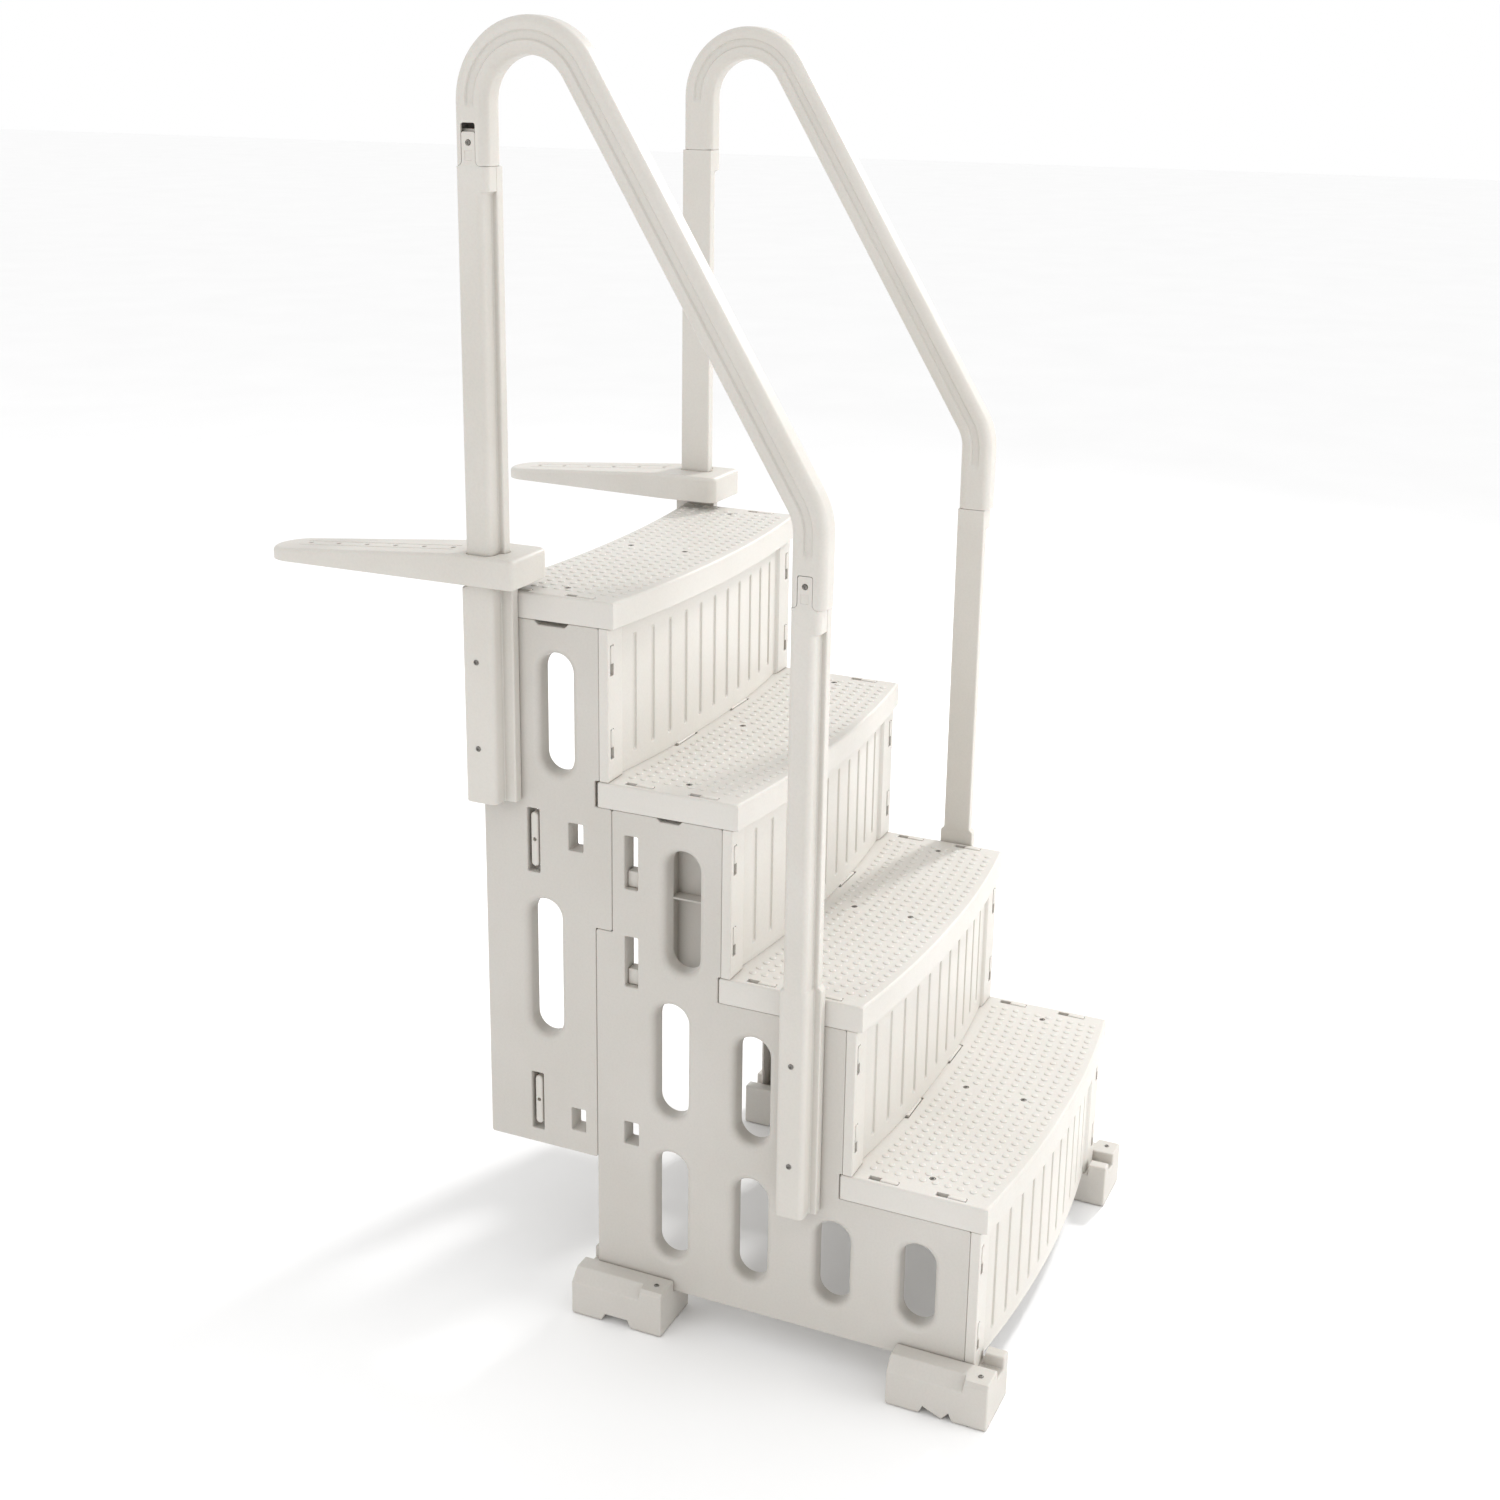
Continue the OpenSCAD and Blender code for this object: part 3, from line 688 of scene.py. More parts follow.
def lower_outline():
    below, above = RISER_H - GAP, RISE + GAP
    corners = [(POST_END_Y, 0), (LOWER_BACK_Y, 0), (LOWER_BACK_Y, STEP_BACK_Z),
               (STEP_BACK_Y, STEP_BACK_Z), (STEP_BACK_Y, 2 * RISE + below)]
    corners += notch_corners(LOWER_NOTCH, 2 * RISE + below)
    for n in (2, 1):
        post, lip = n * RUN + POST_END_Y, (n - 1) * RUN + TREAD_D + GAP
        corners += [(post, n * RISE + below), (post, (n - 1) * RISE + above),
                    (lip, (n - 1) * RISE + above), (lip, (n - 1) * RISE + below)]
    corners += [(POST_END_Y, below)]
    return corners


def rear_outline():
    top = 3 * RISE + RISER_H - GAP
    lip_low, lip_high = 2 * RISE + RISER_H - GAP, 3 * RISE + GAP
    front, post = LOWER_BACK_Y + GAP, 3 * RUN + POST_END_Y
    corners = [(front, REAR_LOW_Z), (REAR_BACK_Y, REAR_LOW_Z), (REAR_BACK_Y, top)]
    corners += notch_corners(REAR_NOTCH, top)
    corners += [(post, top), (post, lip_high), (front, lip_high), (front, lip_low),
                (STEP_BACK_Y + GAP, lip_low), (STEP_BACK_Y + GAP, STEP_BACK_Z + GAP),
                (front, STEP_BACK_Z + GAP)]
    return corners


def corner_radii(corners):
    """Wide rounding on outer corners, and little on inner ones and short edges."""
    wide, little = 4.6, 1.5
    radii = []
    for i, corner in enumerate(corners):
        a = Vector(corner) - Vector(corners[i - 1])
        b = Vector(corners[(i + 1) % len(corners)]) - Vector(corner)
        outer = a.x * b.y - a.y * b.x > 0
        short = min(a.length, b.length)
        radii.append(min(wide if outer else little, short * 0.45))
    return radii


def panel_piece(name, node, side, corners, slots, windows, ribs):
    def place(p, depth):
        return at(side * (HALF_W - depth), p[0], FOOT_Z + p[1])
    build = Build()
    outline = rounded(corners, corner_radii(corners), 4)
    holes = [(upright_slot(y, low, high, SLOT_W), slot_edge(SLOT_ROLL, PANEL_T))
             for y, low, high in slots]
    window_edge = roll(WINDOW_ROLL, 3) + [(0, PANEL_T), (WINDOW_WALL, PANEL_T), (WINDOW_WALL, WALL)]
    holes += [(rectangle((y, z), (y + dy, z + dz), WINDOW_ROLL), window_edge)
              for y, z, dy, dz in windows]
    build.plate(place, outline, shell_edge(2.4, PANEL_T), holes)
    for z, start, end in ribs:
        low = (HALF_W - PANEL_T + 0.5, start, FOOT_Z + z)
        high = (HALF_W - WALL + 1, end, FOOT_Z + z + WALL)
        build.block(low, high, side)
    piece(build, name, node, panel_plastic)


def make_panels(side, word):
    panel_piece(f"lower_panel_moulding_{word}", f"lower_side_panel_{word}", side,
                lower_outline(), LOWER_SLOTS, LOWER_WINDOWS, LOWER_RIBS)
    panel_piece(f"rear_panel_moulding_{word}", f"rear_side_panel_{word}", side,
                rear_outline(), REAR_SLOTS, REAR_WINDOWS + KEY_SLOTS, REAR_RIBS)


def make_keys(side, word):
    """Keys in the rear panel's key slots, and hooks in the lower panel's two tall windows."""
    build = Build()

    def place(p, depth):
        return at(side * (HALF_W - 4 - depth), p[0], FOOT_Z + p[1])
    edge = roll(3) + [(0, PANEL_T - 5), (0.6, PANEL_T - 4.4)]
    for y, z, dy, dz in KEY_SLOTS:
        loop = upright_slot(y + dy / 2, z + 2 * KEY_CLEAR, z + dz - 2 * KEY_CLEAR, dy - 2 * KEY_CLEAR)
        hollow = (circle(y + dy / 2, z + dz / 2, 3.2, 16), chamfered(0.6, 5))
        build.plate(place, loop, edge, (), [hollow])
    hook_in, hook_roll = 7, 1.8
    edge = [(inset, depth + hook_in) for inset, depth in roll(hook_roll)]
    edge += [(0, PANEL_T - 4.5), (0.5, PANEL_T - 4)]
    for y, z, dy, _ in LOWER_WINDOWS[:2]:
        build.plate(place, rectangle((y + GAP, z + GAP), (y + dy - GAP, z + HOOK_H), hook_roll), edge)
    piece(build, f"panel_keys_moulding_{word}", f"panel_keys_{word}", latch_plastic)


# ---- Handrails ----

RAIL_W = rail_high.x - rail_low.x
RAIL_D = 54
RAIL_X = abs(rail_high.x + rail_low.x) / 2
RAIL_OUT = RAIL_X + RAIL_W / 2
FRONT_RAIL_Y = rail_low.y - ORIGIN_Y + RAIL_D / 2
REAR_RAIL_Y = rail_high.y - ORIGIN_Y - RAIL_D / 2
SPIGOT = 52
FRONT_JOINT_Z = front_leg_high_corner.z - SPIGOT
REAR_JOINT_Z = rear_leg_high_corner.z - SPIGOT
SLOPE = math.radians(31.4)
TOP_R = 92
ELBOW_R = 90
RAIL_ROUND = 12.5
CHANNEL_MOUTH = 8
CHANNEL_FLOOR = 4.6
CHANNEL_D = 3.4
JOINT_BACK = 3
TONGUE_W = 23
TONGUE_L = 48
FLARE = 8
# Height of the screw in a joint's tongue, and how far it is sunk below the rail's face
TONGUE_SCREW = TONGUE_L - 15
SCREW_SUNK = 1.5
# Open part of the rear window, above its tongue
REAR_WINDOW_MORE = 12
# How far a rail is hollow above its front joint and its rear joint
FRONT_BORE = 70
REAR_BORE = 90
# Longest steps along a bend and along a straight stretch
BEND_STEP = 9
STRAIGHT_STEP = 6


def rail_path():
    """The rail's middle line as (y, z, heading) with the distance along it, by short steps."""
    top_y = REAR_RAIL_Y - TOP_R
    top_z = rail_high.z - RAIL_D / 2 - TOP_R
    slope_y = top_y - TOP_R * math.cos(SLOPE)
    slope_z = top_z + TOP_R * math.sin(SLOPE)
    elbow_z = slope_z - (slope_y - FRONT_RAIL_Y) / math.tan(SLOPE)
    elbow_run = ELBOW_R * math.tan(SLOPE / 2)
    slope_l = (slope_y - FRONT_RAIL_Y) / math.sin(SLOPE) - elbow_run
    # Each stretch: its length, and its turn
    stretches = ((elbow_z - elbow_run - FRONT_JOINT_Z, 0), (ELBOW_R * SLOPE, SLOPE),
                 (slope_l, 0), (TOP_R * (math.pi - SLOPE), math.pi - SLOPE),
                 (top_z - REAR_JOINT_Z, 0))
    y, z, heading, along = FRONT_RAIL_Y, FRONT_JOINT_Z, 0.0, 0.0
    path = [(y, z, heading, along)]
    for length, turn in stretches:
        count = max(1, math.ceil(length / (BEND_STEP if turn else STRAIGHT_STEP)))
        for _ in range(count):
            heading += turn / count / 2
            chord = length / count
            if turn:
                chord *= math.sin(turn / count / 2) / (turn / count / 2)
            y += chord * math.sin(heading)
            z += chord * math.cos(heading)
            heading += turn / count / 2
            along += length / count
            path.append((y, z, heading, along))
    return path


def rail_section():
    """(across, deep) loop, with extra points on both side faces for their channels."""
    w, d = RAIL_W / 2, RAIL_D / 2
    half = [2, CHANNEL_FLOOR, 5.4, 6.3, 7.2, CHANNEL_MOUTH, 9, 11.5]
    flats = [-t for t in reversed(half)] + half
    loop = rounded([(-w, -d), (w, -d), (w, d), (-w, d)], [RAIL_ROUND] * 4, 6)
    right = [Vector((w, t)) for t in flats]
    left = [Vector((-w, -t)) for t in flats]
    middle = len(loop) // 2
    return loop[:middle] + right + loop[middle:] + left


def rail_ring(side, station, section, channel):
    """The section at a station; its channels are as deep as the function of distance says."""
    y, z, heading, along = station
    points = []
    for p in section:
        sunk = channel(p, along)
        across = math.copysign(abs(p.x) - sunk, p.x)
        points.append(at(side * (RAIL_X + across), y + p.y * math.cos(heading),
                         z - p.y * math.sin(heading)))
    return points


def lifted(station, by):
    """The station moved on along its own heading."""
    y, z, heading, along = station
    return (y + by * math.sin(heading), z + by * math.cos(heading), heading, along)


def tongue_loop(y, grow, top):
    """A joint's tongue or its window, which flares out at the foot."""
    half = TONGUE_W / 2 + grow
    wide = half + FLARE + 1
    below = -3
    corners = [(y - wide, below), (y + wide, below), (y + wide, 0), (y + half, 0),
               (y + half, top + grow), (y - half, top + grow), (y - half, 0), (y - wide, 0)]
    return rounded(corners, [0, 0, 0, FLARE, 3.5, 3.5, FLARE, 0])


def carved(mesh, cutter):
    """The mesh with the cutter's solids taken away."""
    body = bpy.data.objects.new(mesh.name, mesh)
    tool = bpy.data.objects.new(cutter.name, cutter)
    for obj in (body, tool):
        bpy.context.scene.collection.objects.link(obj)
    cut = body.modifiers.new("Cut", "BOOLEAN")
    cut.operation = "DIFFERENCE"
    cut.solver = "EXACT"
    cut.object = tool
    depsgraph = bpy.context.evaluated_depsgraph_get()
    result = bpy.data.meshes.new_from_object(body.evaluated_get(depsgraph))
    result.materials.clear()
    for obj in (body, tool):
        bpy.data.objects.remove(obj)
    return result


def make_rail(side, word):
    path = rail_path()
    start = TONGUE_L + 26
    end = path[-1][3] - TONGUE_L - REAR_WINDOW_MORE - 22
    section = rail_section()
    bore = offset(section, WALL)
    soft = offset(section, 1)

    def channel(p, along):
        if abs(abs(p.x) - RAIL_W / 2) > 0.01 or abs(p.y) > RAIL_ROUND - 0.5:
            return 0
        past = max(0, start + CHANNEL_MOUTH - along, along - end + CHANNEL_MOUTH)
        away = math.hypot(p.y, past)
        return CHANNEL_D * smooth_step((CHANNEL_MOUTH - away) / (CHANNEL_MOUTH - CHANNEL_FLOOR))

    def plain(p, along):
        return 0

    def end_rings(station, inward, depth):
        """From the bottom of the bore, around the rail's end, to its full section."""
        stages = ((depth, bore), (0, bore), (0, soft), (1, section))
        return [rail_ring(side, lifted(station, inward * by), loop, plain) for by, loop in stages]

    rings = end_rings(path[0], 1, FRONT_BORE)
    rings += [rail_ring(side, station, section, channel) for station in path[1:-1]]
    rings += end_rings(path[-1], -1, REAR_BORE)[::-1]
    build = Build()
    build.loft(rings)
    cutter = Build()
    for y, z, top in ((FRONT_RAIL_Y, FRONT_JOINT_Z, TONGUE_L + GAP),
                      (REAR_RAIL_Y, REAR_JOINT_Z, TONGUE_L + REAR_WINDOW_MORE)):
        def place(p, depth, z=z):
            return at(side * (RAIL_OUT + 4 - depth), p[0], z + p[1])
        cutter.plate(place, tongue_loop(y + JOINT_BACK, 0.5, top), [(0, 0), (0, 10)])
    mesh = carved(mesh_of(build, f"rail_sweep_{word}"), mesh_of(cutter, f"rail_windows_{word}"))
    piece(mesh, f"handrail_moulding_{word}", f"upper_rail_{word}", rail_plastic)


# ---- Legs ----

FIN_T = 18
LEG_ROUND = 10
# Each leg's plans below and above its shoulder: (body's front, body's back, fin's front)
REAR_LEG = ((812, 868, 792), (813, 858, 804))
FRONT_LEG = ((281, 329, 269), (284, 323, 275))
FRONT_SHOULDER_Z = 604 + FOOT_Z
REAR_SHOULDER_Z = flange_low.z - 2.5
SHOULDER_L = 6
# Full section on top of a leg, and the stretch where its fin widens into that
HEAD_L = 35
HEAD_RISE = 8
LEG_HOLLOW = 26


def leg_plan(front, back, fin, inner=1.6):
    """Plan of a left leg: a body with round outer corners, and a thin fin on its front."""
    out_x, in_x = -RAIL_OUT, -RAIL_OUT + RAIL_W
    fin_x = in_x - FIN_T
    step = max(0.4, front - fin)
    corners = [(out_x, fin + step), (fin_x, fin + step), (fin_x, fin), (in_x, fin),
               (in_x, back), (out_x, back)]
    small = min(2.5, step * 0.4)
    return rounded(corners, [LEG_ROUND, small, small, 2.5, inner, LEG_ROUND])


def make_leg(side, word, which, plans, shoulder, low_z, joint_z, axis_y):
    low, high = plans
    wide, slim = leg_plan(*low), leg_plan(*high)
    bore = offset(wide, WALL)
    taper = shoulder - SHOULDER_L
    stations = [(bore, low_z + LEG_HOLLOW), (bore, low_z), (offset(wide, 1), low_z),
                (wide, low_z + 1), (wide, taper - 3), (offset(wide, 0.4), taper)]
    for share in (0.5, 0.85, 1):
        between = [a.lerp(b, smooth_step(share)) for a, b in zip(wide, slim)]
        stations.append((between, taper + SHOULDER_L * share))
    head = joint_z - HEAD_L - HEAD_RISE
    stations.append((slim, head))
    for k in range(1, 6):
        angle = math.pi / 2 * k / 5
        front = high[2] + (high[0] - high[2]) * math.cos(angle)
        plan = leg_plan(front, high[1], high[2])
        stations.append((plan, head + HEAD_RISE * math.sin(angle)))
    full = leg_plan(high[2], high[1], high[2])
    stations += [(full, joint_z - 1.4), (offset(full, 0.15), joint_z - GAP)]
    build = Build()
    build.loft([[at(-side * p.x, p.y, z) for p in loop] for loop, z in stations])
    add_tongue(build, side, joint_z, axis_y)
    piece(build, f"{which}_leg_moulding_{word}", f"{which}_leg_{word}", rail_plastic)


def add_tongue(build, side, joint_z, axis_y):
    """Tongue that fills the rail's window, with a mark and a screw recess, on its spigot."""
    def place(p, depth):
        return at(side * (RAIL_OUT - 0.1 - depth), p[0], joint_z + p[1])
    marks = [(rectangle((axis_y - 6, 8), (axis_y + 6, 22), 1), chamfered(0.3, 0.5)),
             (circle(axis_y, TONGUE_SCREW, 4.6, 16), chamfered(0.5, 1.6))]
    edge = roll(0.9, 3) + [(0, 20), (0.4, 20.4)]
    build.plate(place, tongue_loop(axis_y, 0, TONGUE_L), edge, (), marks)
    half_x, half_y = RAIL_W / 2 - WALL - 1, 18
    build.block((RAIL_X - half_x, axis_y - half_y, joint_z - 4),
                (RAIL_X + half_x - 6, axis_y + half_y, joint_z + SPIGOT), side)


def make_legs(side, word):
    make_leg(side, word, "rear", REAR_LEG, REAR_SHOULDER_Z, rear_leg_low_corner.z,
             REAR_JOINT_Z, REAR_RAIL_Y + JOINT_BACK)
    make_leg(side, word, "front", FRONT_LEG, FRONT_SHOULDER_Z, front_leg_low_corner.z,
             FRONT_JOINT_Z, FRONT_RAIL_Y + JOINT_BACK)


# ---- Deck flanges ----

COLLAR_H = flange_high.z - flange_low.z
TIP_H = 18
DECK_Z = flange_low.z
FLANGE_OUT = -flange_low.x
FLANGE_IN = -flange_high.x
COLLAR_FRONT_Y = flange_low.y - ORIGIN_Y
COLLAR_BACK_Y = 880
TIP_Y = flange_high.y - ORIGIN_Y
TIP_R = 43
HOLE_X = HALF_W + 12
HOLE_START_Y = 899
HOLE_STEP = 53
HOLE_R = 4.5
HOLES = 6
FLANGE_ROLL = 7
FLANGE_WALL = 5
COLLAR_CLEAR = 0.7
# Half the length of the bend where the top starts to slope
BEND_HALF = 14
# How much of the height below the top keeps its shape when the top slopes
TOP_KEPT = 10


def flange_top(y):
    """Height of a flange's top above its underside: level, then sloping to its tip."""
    slope = (COLLAR_H - TIP_H) / (TIP_Y - COLLAR_BACK_Y)
    past = y - COLLAR_BACK_Y
    if past <= -BEND_HALF:
        return COLLAR_H
    if past < BEND_HALF:
        return COLLAR_H - slope * (past + BEND_HALF) ** 2 / (4 * BEND_HALF)
    return COLLAR_H - slope * past


def flange_blank(side, name):
    """A flange of even height: its outline, the leg's hole, the screw holes and two grooves."""
    def place(p, depth):
        return at(-side * p[0], p[1], COLLAR_H - depth)
    out, tip_in = -FLANGE_OUT, -FLANGE_OUT + 2 * TIP_R
    corners = [(out, COLLAR_FRONT_Y), (-FLANGE_IN, COLLAR_FRONT_Y), (-FLANGE_IN, COLLAR_BACK_Y),
               (tip_in, TIP_Y - TIP_R), (tip_in, TIP_Y), (out, TIP_Y)]
    outline = without_repeats(rounded(corners, [7.2, 15, 60, 0, TIP_R, TIP_R], 10))
    edge = roll(FLANGE_ROLL, 5) + [(0, COLLAR_H - 0.8), (0.8, COLLAR_H), (FLANGE_WALL - 0.6, COLLAR_H),
                                   (FLANGE_WALL, COLLAR_H - 0.6), (FLANGE_WALL, FLANGE_WALL)]
    collar = eased(2, 0.6, COLLAR_H) + [(6, COLLAR_H), (6, FLANGE_WALL)]
    bore = chamfered(0.9, COLLAR_H) + [(4, COLLAR_H), (4, FLANGE_WALL)]
    holes = [(offset(leg_plan(*REAR_LEG[1]), -COLLAR_CLEAR), collar)]
    holes += [(circle(-HOLE_X, HOLE_START_Y + i * HOLE_STEP, HOLE_R, 20), bore) for i in range(HOLES)]
    start, end = HOLE_START_Y - 8, HOLE_START_Y + (HOLES - 1) * HOLE_STEP + 14
    grooves = [(upright_slot(-HOLE_X + shift, start, end, 2.4), chamfered(0.5, 1.3))
               for shift in (-13, 13)]
    build = Build()
    build.plate(place, outline, edge, holes, grooves)
    return mesh_of(build, name)


def make_flange(side, word):
    mesh = flange_blank(side, f"flange_{word}")
    work = bmesh.new()
    work.from_mesh(mesh)
    for past in (-BEND_HALF, -9, -4, 0, 4, 9, BEND_HALF, 60, 120, 180, 240):
        geometry = work.verts[:] + work.edges[:] + work.faces[:]
        bmesh.ops.bisect_plane(work, geom=geometry, plane_co=at(0, COLLAR_BACK_Y + past, 0),
                               plane_no=(0, 1, 0), dist=1e-6)
    for vert in work.verts:
        top = flange_top(vert.co.y / MM - ORIGIN_Y)
        z = vert.co.z / MM
        if z > COLLAR_H - TOP_KEPT:
            z = top - (COLLAR_H - z)
        else:
            z = z * (top - TOP_KEPT) / (COLLAR_H - TOP_KEPT)
        vert.co.z = (DECK_Z + z) * MM
    bmesh.ops.recalc_face_normals(work, faces=work.faces)
    work.to_mesh(mesh)
    work.free()
    piece(mesh, f"deck_flange_moulding_{word}", f"deck_flange_{word}",
          flange_plastic)


# ---- Feet ----

FOOT_L = 164
FOOT_LIP = 20
FOOT_OUT = HALF_W + 50
FOOT_W = 105
FOOT_IN = FOOT_OUT - FOOT_W
FRONT_FOOT_Y = -30
REAR_FOOT_Y = 522
FOOT_PAD_L = 38
FOOT_SCREW_IN = 24
# The cut along the outer upper edge, on the pad and on the rest of the foot
PAD_EDGE = 6
FOOT_SLOPE = 20
# The cross notch's length, its height and how long each of its sloping ends is
FOOT_NOTCH = (42, 13, 6)
FOOT_SOFT = 3


def foot_section(bottom, edge, inner_top):
    """Section of a left foot, (x, z): a cradle for the side panel."""
    top = FOOT_Z + FOOT_LIP
    slot_out, slot_in = HALF_W + GAP, HALF_W - PANEL_T - GAP
    low_rail = inner_top - FOOT_Z
    corners = [(-FOOT_OUT, bottom), (-FOOT_IN, bottom), (-FOOT_IN, inner_top),
               (-slot_in, inner_top), (-slot_in, FOOT_Z), (-slot_out, FOOT_Z), (-slot_out, top),
               (-FOOT_OUT + edge, top), (-FOOT_OUT, top - edge)]
    radii = [4, 4, 4, min(3.2, low_rail * 0.4), min(1.5, low_rail * 0.4), 1.5, 3.2,
             min(6, edge * 0.45), min(6, edge * 0.45)]
    return rounded(corners, radii, 4)


def foot_stations(y0, riser_slot):
    """(y, inset, bottom, edge, top of the inner rail) along a foot."""
    top = FOOT_Z + FOOT_LIP
    notch_l, notch_h, notch_end = FOOT_NOTCH
    notch_a, notch_b = y0 + (FOOT_L - notch_l) / 2, y0 + (FOOT_L + notch_l) / 2
    pad_end = y0 + FOOT_PAD_L
    stations = [(y0 + d, i, 0, PAD_EDGE, top) for i, d in roll(FOOT_SOFT)]
    floor = FOOT_Z + 0.6
    if riser_slot:
        slot_a, slot_b = POST_Y - 6, POST_END_Y + 18
        stations += [(slot_a - 1, 0, 0, PAD_EDGE, top), (slot_a, 0, 0, PAD_EDGE, floor),
                     (pad_end, 0, 0, PAD_EDGE, floor), (pad_end + 3, 0, 0, FOOT_SLOPE, floor),
                     (slot_b, 0, 0, FOOT_SLOPE, floor), (slot_b + 1, 0, 0, FOOT_SLOPE, top)]
    else:
        stations += [(pad_end, 0, 0, PAD_EDGE, top), (pad_end + 3, 0, 0, FOOT_SLOPE, top)]
    stations += [(notch_a - notch_end, 0, 0, FOOT_SLOPE, top), (notch_a, 0, notch_h, FOOT_SLOPE, top),
                 (notch_b, 0, notch_h, FOOT_SLOPE, top), (notch_b + notch_end, 0, 0, FOOT_SLOPE, top)]
    stations += [(y0 + FOOT_L - d, i, 0, FOOT_SLOPE, top) for i, d in reversed(roll(FOOT_SOFT))]
    return sorted(stations, key=lambda s: s[0])


def make_foot(side, word, which, y0):
    build = Build()
    rings = []
    for y, inset, bottom, edge, inner_top in foot_stations(y0, which == "front"):
        section = offset(foot_section(bottom, edge, inner_top), inset)
        rings.append([at(-side * p.x, y, p.y) for p in section])
    build.loft(rings)
    piece(build, f"{which}_foot_moulding_{word}", f"{which}_foot_{word}", foot_plastic)


# ---- Screws ----

# Screws in the legs' lower parts: (y, z)
LEG_SCREWS = ((305, front_leg_low_corner.z + 90), (305, front_leg_low_corner.z + 260),
              (842, rear_leg_low_corner.z + 90), (842, rear_leg_low_corner.z + 230))


def cross_loop(x, y, arm, thin):
    """Outline of a cross recess: three corners, turned through four quarters."""
    loop = []
    corners = [(-thin, -arm), (thin, -arm), (thin, -thin)]
    for _ in range(4):
        loop += [Vector((x + a, y + b)) for a, b in corners]
        corners = [(-b, a) for a, b in corners]
    return loop


def screw(build, place, x, y, radius, height=1.7):
    """Pan head with a cross recess, on a short shank."""
    cross = cross_loop(x, y, radius * 0.55, radius * 0.16)
    shank, shank_l = radius * 0.45, 9
    head = [(radius * 0.42, -height), (radius * 0.25, -height * 0.93), (radius * 0.1, -height * 0.7),
            (0.02, -height * 0.25), (0, 0), (shank, 0), (shank, shank_l)]
    build.plate(place, circle(x, y, radius, 24), head, (),
                [(cross, [(0, -height), (0.15, -height * 0.3)])])


def make_screws():
    build = Build()
    for n in range(1, STEPS + 1):
        for x, y in TREAD_SCREWS:
            def place(p, depth, n=n):
                return at(p[0], p[1] + (n - 1) * RUN, FOOT_Z + n * RISE - 1.9 - depth)
            screw(build, place, x, y, 4.2)
    piece(build, "tread_screws_turned", "tread_screws", steel)
    rail_build, leg_build, foot_build = Build(), Build(), Build()
    for side in (-1, 1):
        def face(p, depth, side=side):
            return at(side * (RAIL_OUT + 0.2 - depth), p[0], p[1])

        def sunk(p, depth, side=side):
            return at(side * (RAIL_OUT - SCREW_SUNK - depth), p[0], p[1])

        def pad(p, depth, side=side):
            return at(side * p[0], p[1], FOOT_Z + FOOT_LIP + 0.2 - depth)
        for y, z in ((FRONT_RAIL_Y, FRONT_JOINT_Z), (REAR_RAIL_Y, REAR_JOINT_Z)):
            screw(rail_build, sunk, y + JOINT_BACK, z + TONGUE_SCREW, 3.9)
        for y, z in LEG_SCREWS:
            screw(leg_build, face, y, z, 4.4)
        for y0 in (FRONT_FOOT_Y, REAR_FOOT_Y):
            screw(foot_build, pad, FOOT_OUT - FOOT_SCREW_IN, y0 + FOOT_PAD_L / 2, 4.2, 1.4)
    piece(rail_build, "rail_screws_turned", "rail_screws", steel)
    piece(leg_build, "leg_screws_turned", "leg_screws", steel)
    piece(foot_build, "foot_screws_turned", "foot_screws", steel)


# ---- Studio ----

# The studio's own lengths are metres. The camera's heading is from +Y, turned about Z
CAMERA_PLACE = (-2.9206, -1.3385, 1.9885)
CAMERA_AZIMUTH = math.radians(-66.004)
CAMERA_ELEVATION = math.radians(16.408)
CAMERA_TILT = math.radians(0.847)
CAMERA_LENS = 48.2065
CAMERA_SHIFT_Y = -0.0633
# Middle of the ladder, which the lights are aimed at
LIGHT_TARGET = (0, 0, 0.9)
# Each light: its name, place, size and power
LIGHTS = (("key", (4.1, -1.3, 3.8), 0.6, 140), ("front", (0.5, -4.5, 2.0), 2.5, 60),
          ("fill", (-4.2, 2.2, 2.6), 2.0, 18))
FLOOR_REACH = 40
FLOOR_Z = -0.0005


def make_floor():
    mesh = bpy.data.meshes.new("floor")
    signs = ((-1, -1), (1, -1), (1, 1), (-1, 1))
    corners = [(a * FLOOR_REACH, b * FLOOR_REACH, FLOOR_Z) for a, b in signs]
    mesh.from_pydata(corners, [], [(0, 1, 2, 3)])
    floor = bpy.data.objects.new("studio_floor", mesh)
    bpy.context.scene.collection.objects.link(floor)
    material = bpy.data.materials.new("floor_paper")
    material.use_nodes = True
    tree = material.node_tree
    shader = tree.nodes["Principled BSDF"]
    place = tree.nodes.new("ShaderNodeTexCoord").outputs["Object"]
    tone = ramp(tree, noise(tree, place, 1.5, 3), [(0.3, grey(0.955)), (0.7, grey(0.975))])
    tree.links.new(tone, shader.inputs["Base Color"])
    shader.inputs["Roughness"].default_value = 0.9
    floor.data.materials.append(material)


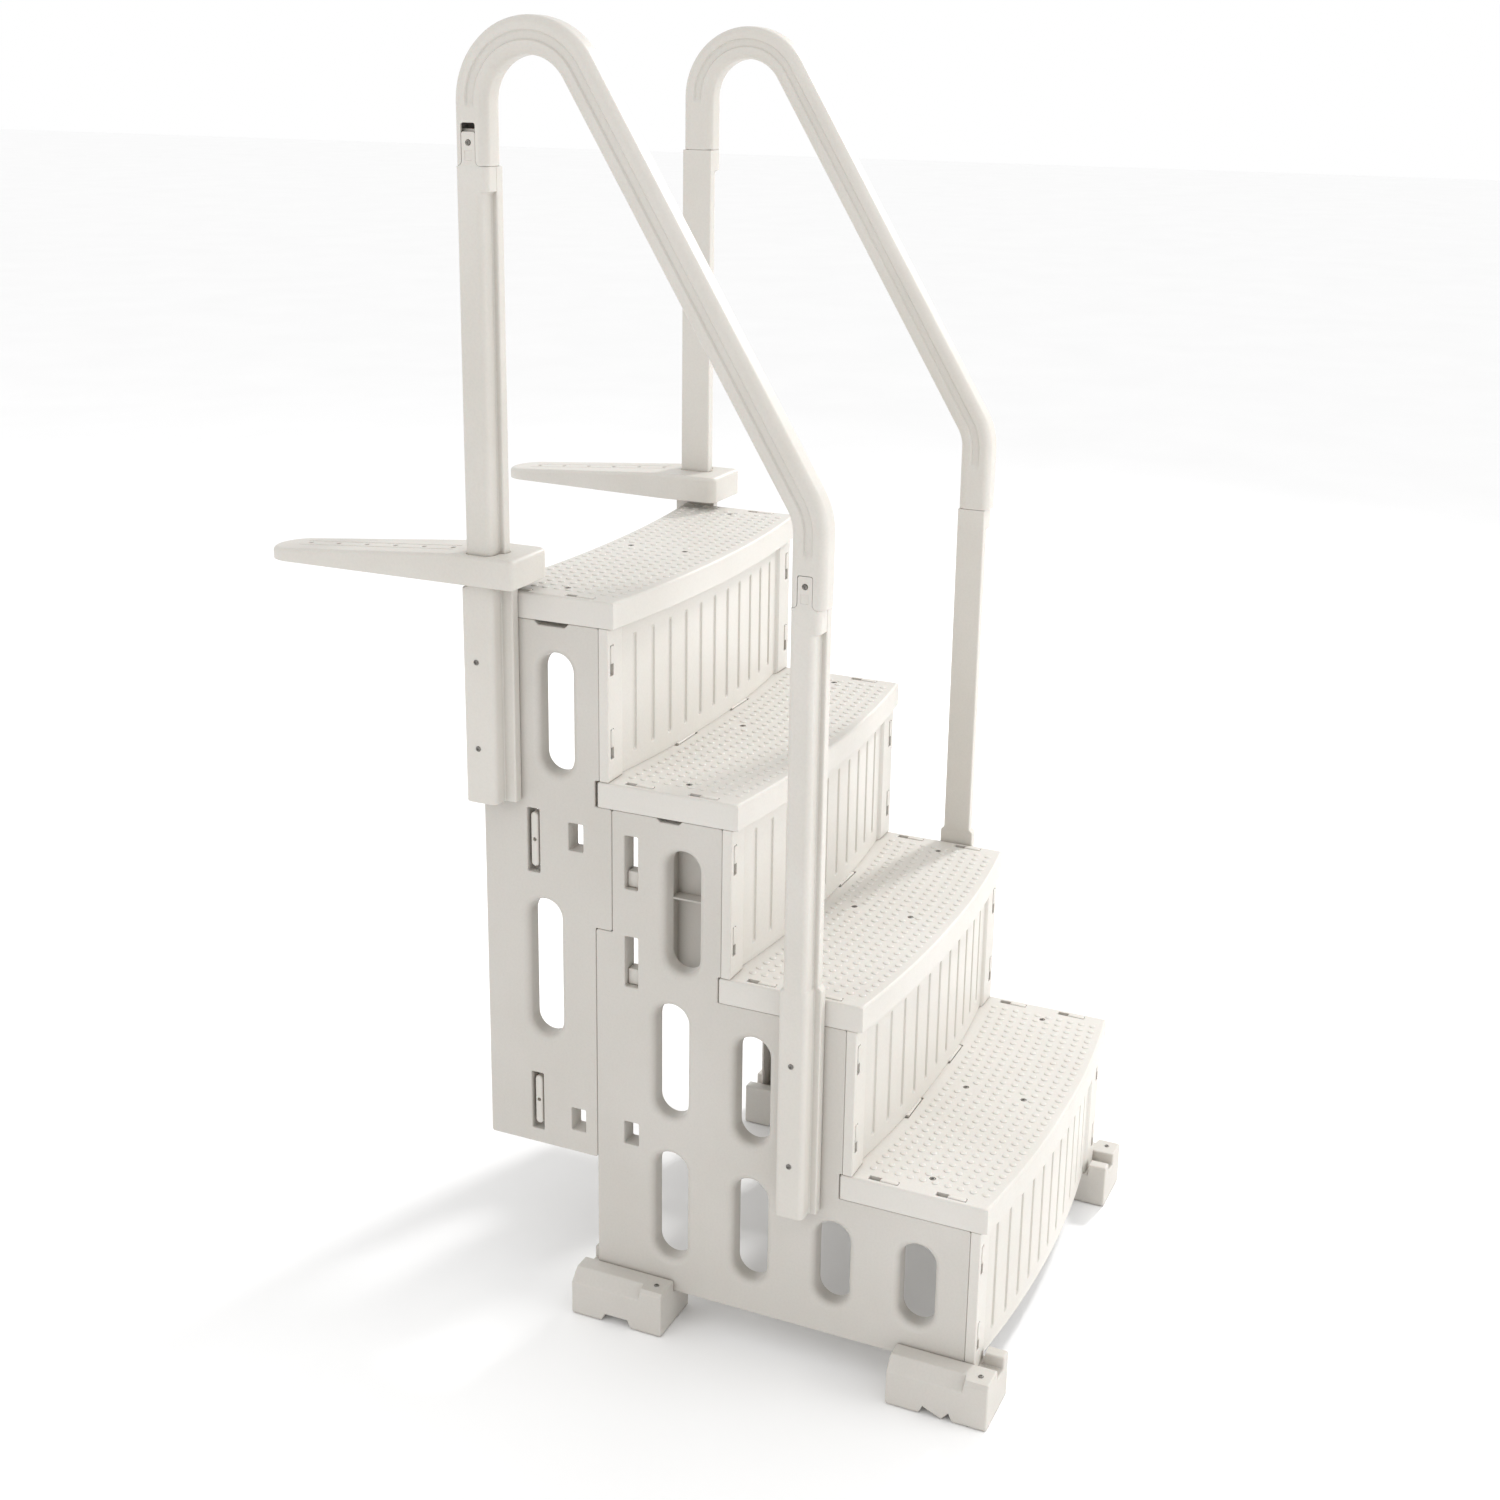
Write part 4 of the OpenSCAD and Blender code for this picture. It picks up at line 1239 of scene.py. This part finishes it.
def make_world():
    world = bpy.data.worlds.new("studio")
    world.use_nodes = True
    background = world.node_tree.nodes["Background"]
    background.inputs["Color"].default_value = (1, 1, 1, 1)
    background.inputs["Strength"].default_value = 1.0
    bpy.context.scene.world = world


def area_light(name, place, size, power):
    light = bpy.data.lights.new(name, "AREA")
    light.shape = "DISK"
    light.size = size
    light.energy = power
    obj = bpy.data.objects.new(name, light)
    obj.location = place
    obj.rotation_mode = "QUATERNION"
    obj.rotation_quaternion = (Vector(LIGHT_TARGET) - Vector(place)).to_track_quat("-Z", "Y")
    bpy.context.scene.collection.objects.link(obj)


def make_camera():
    level = math.cos(CAMERA_ELEVATION)
    back = Vector((math.sin(CAMERA_AZIMUTH) * level, -math.cos(CAMERA_AZIMUTH) * level,
                   math.sin(CAMERA_ELEVATION)))
    right = Vector((math.cos(CAMERA_AZIMUTH), math.sin(CAMERA_AZIMUTH), 0))
    up = back.cross(right)
    turned_right = right * math.cos(CAMERA_TILT) + up * math.sin(CAMERA_TILT)
    turned_up = up * math.cos(CAMERA_TILT) - right * math.sin(CAMERA_TILT)
    data = bpy.data.cameras.new("camera")
    data.lens = CAMERA_LENS
    data.sensor_width = 36
    data.shift_y = CAMERA_SHIFT_Y
    camera = bpy.data.objects.new("camera", data)
    turn = Matrix((turned_right, turned_up, back)).transposed().to_4x4()
    camera.matrix_world = Matrix.Translation(CAMERA_PLACE) @ turn
    bpy.context.scene.collection.objects.link(camera)
    bpy.context.scene.camera = camera


make_camera()
make_floor()
make_world()
for light in LIGHTS:
    area_light(*light)

for number in range(1, STEPS + 1):
    make_tread(number)
    make_riser(number)
make_latches()
for which_side, side_word in ((-1, "left"), (1, "right")):
    make_panels(which_side, side_word)
    make_keys(which_side, side_word)
    make_rail(which_side, side_word)
    make_legs(which_side, side_word)
    make_flange(which_side, side_word)
    make_foot(which_side, side_word, "front", FRONT_FOOT_Y)
    make_foot(which_side, side_word, "rear", REAR_FOOT_Y)
make_screws()

bpy.context.scene.view_settings.view_transform = "Standard"
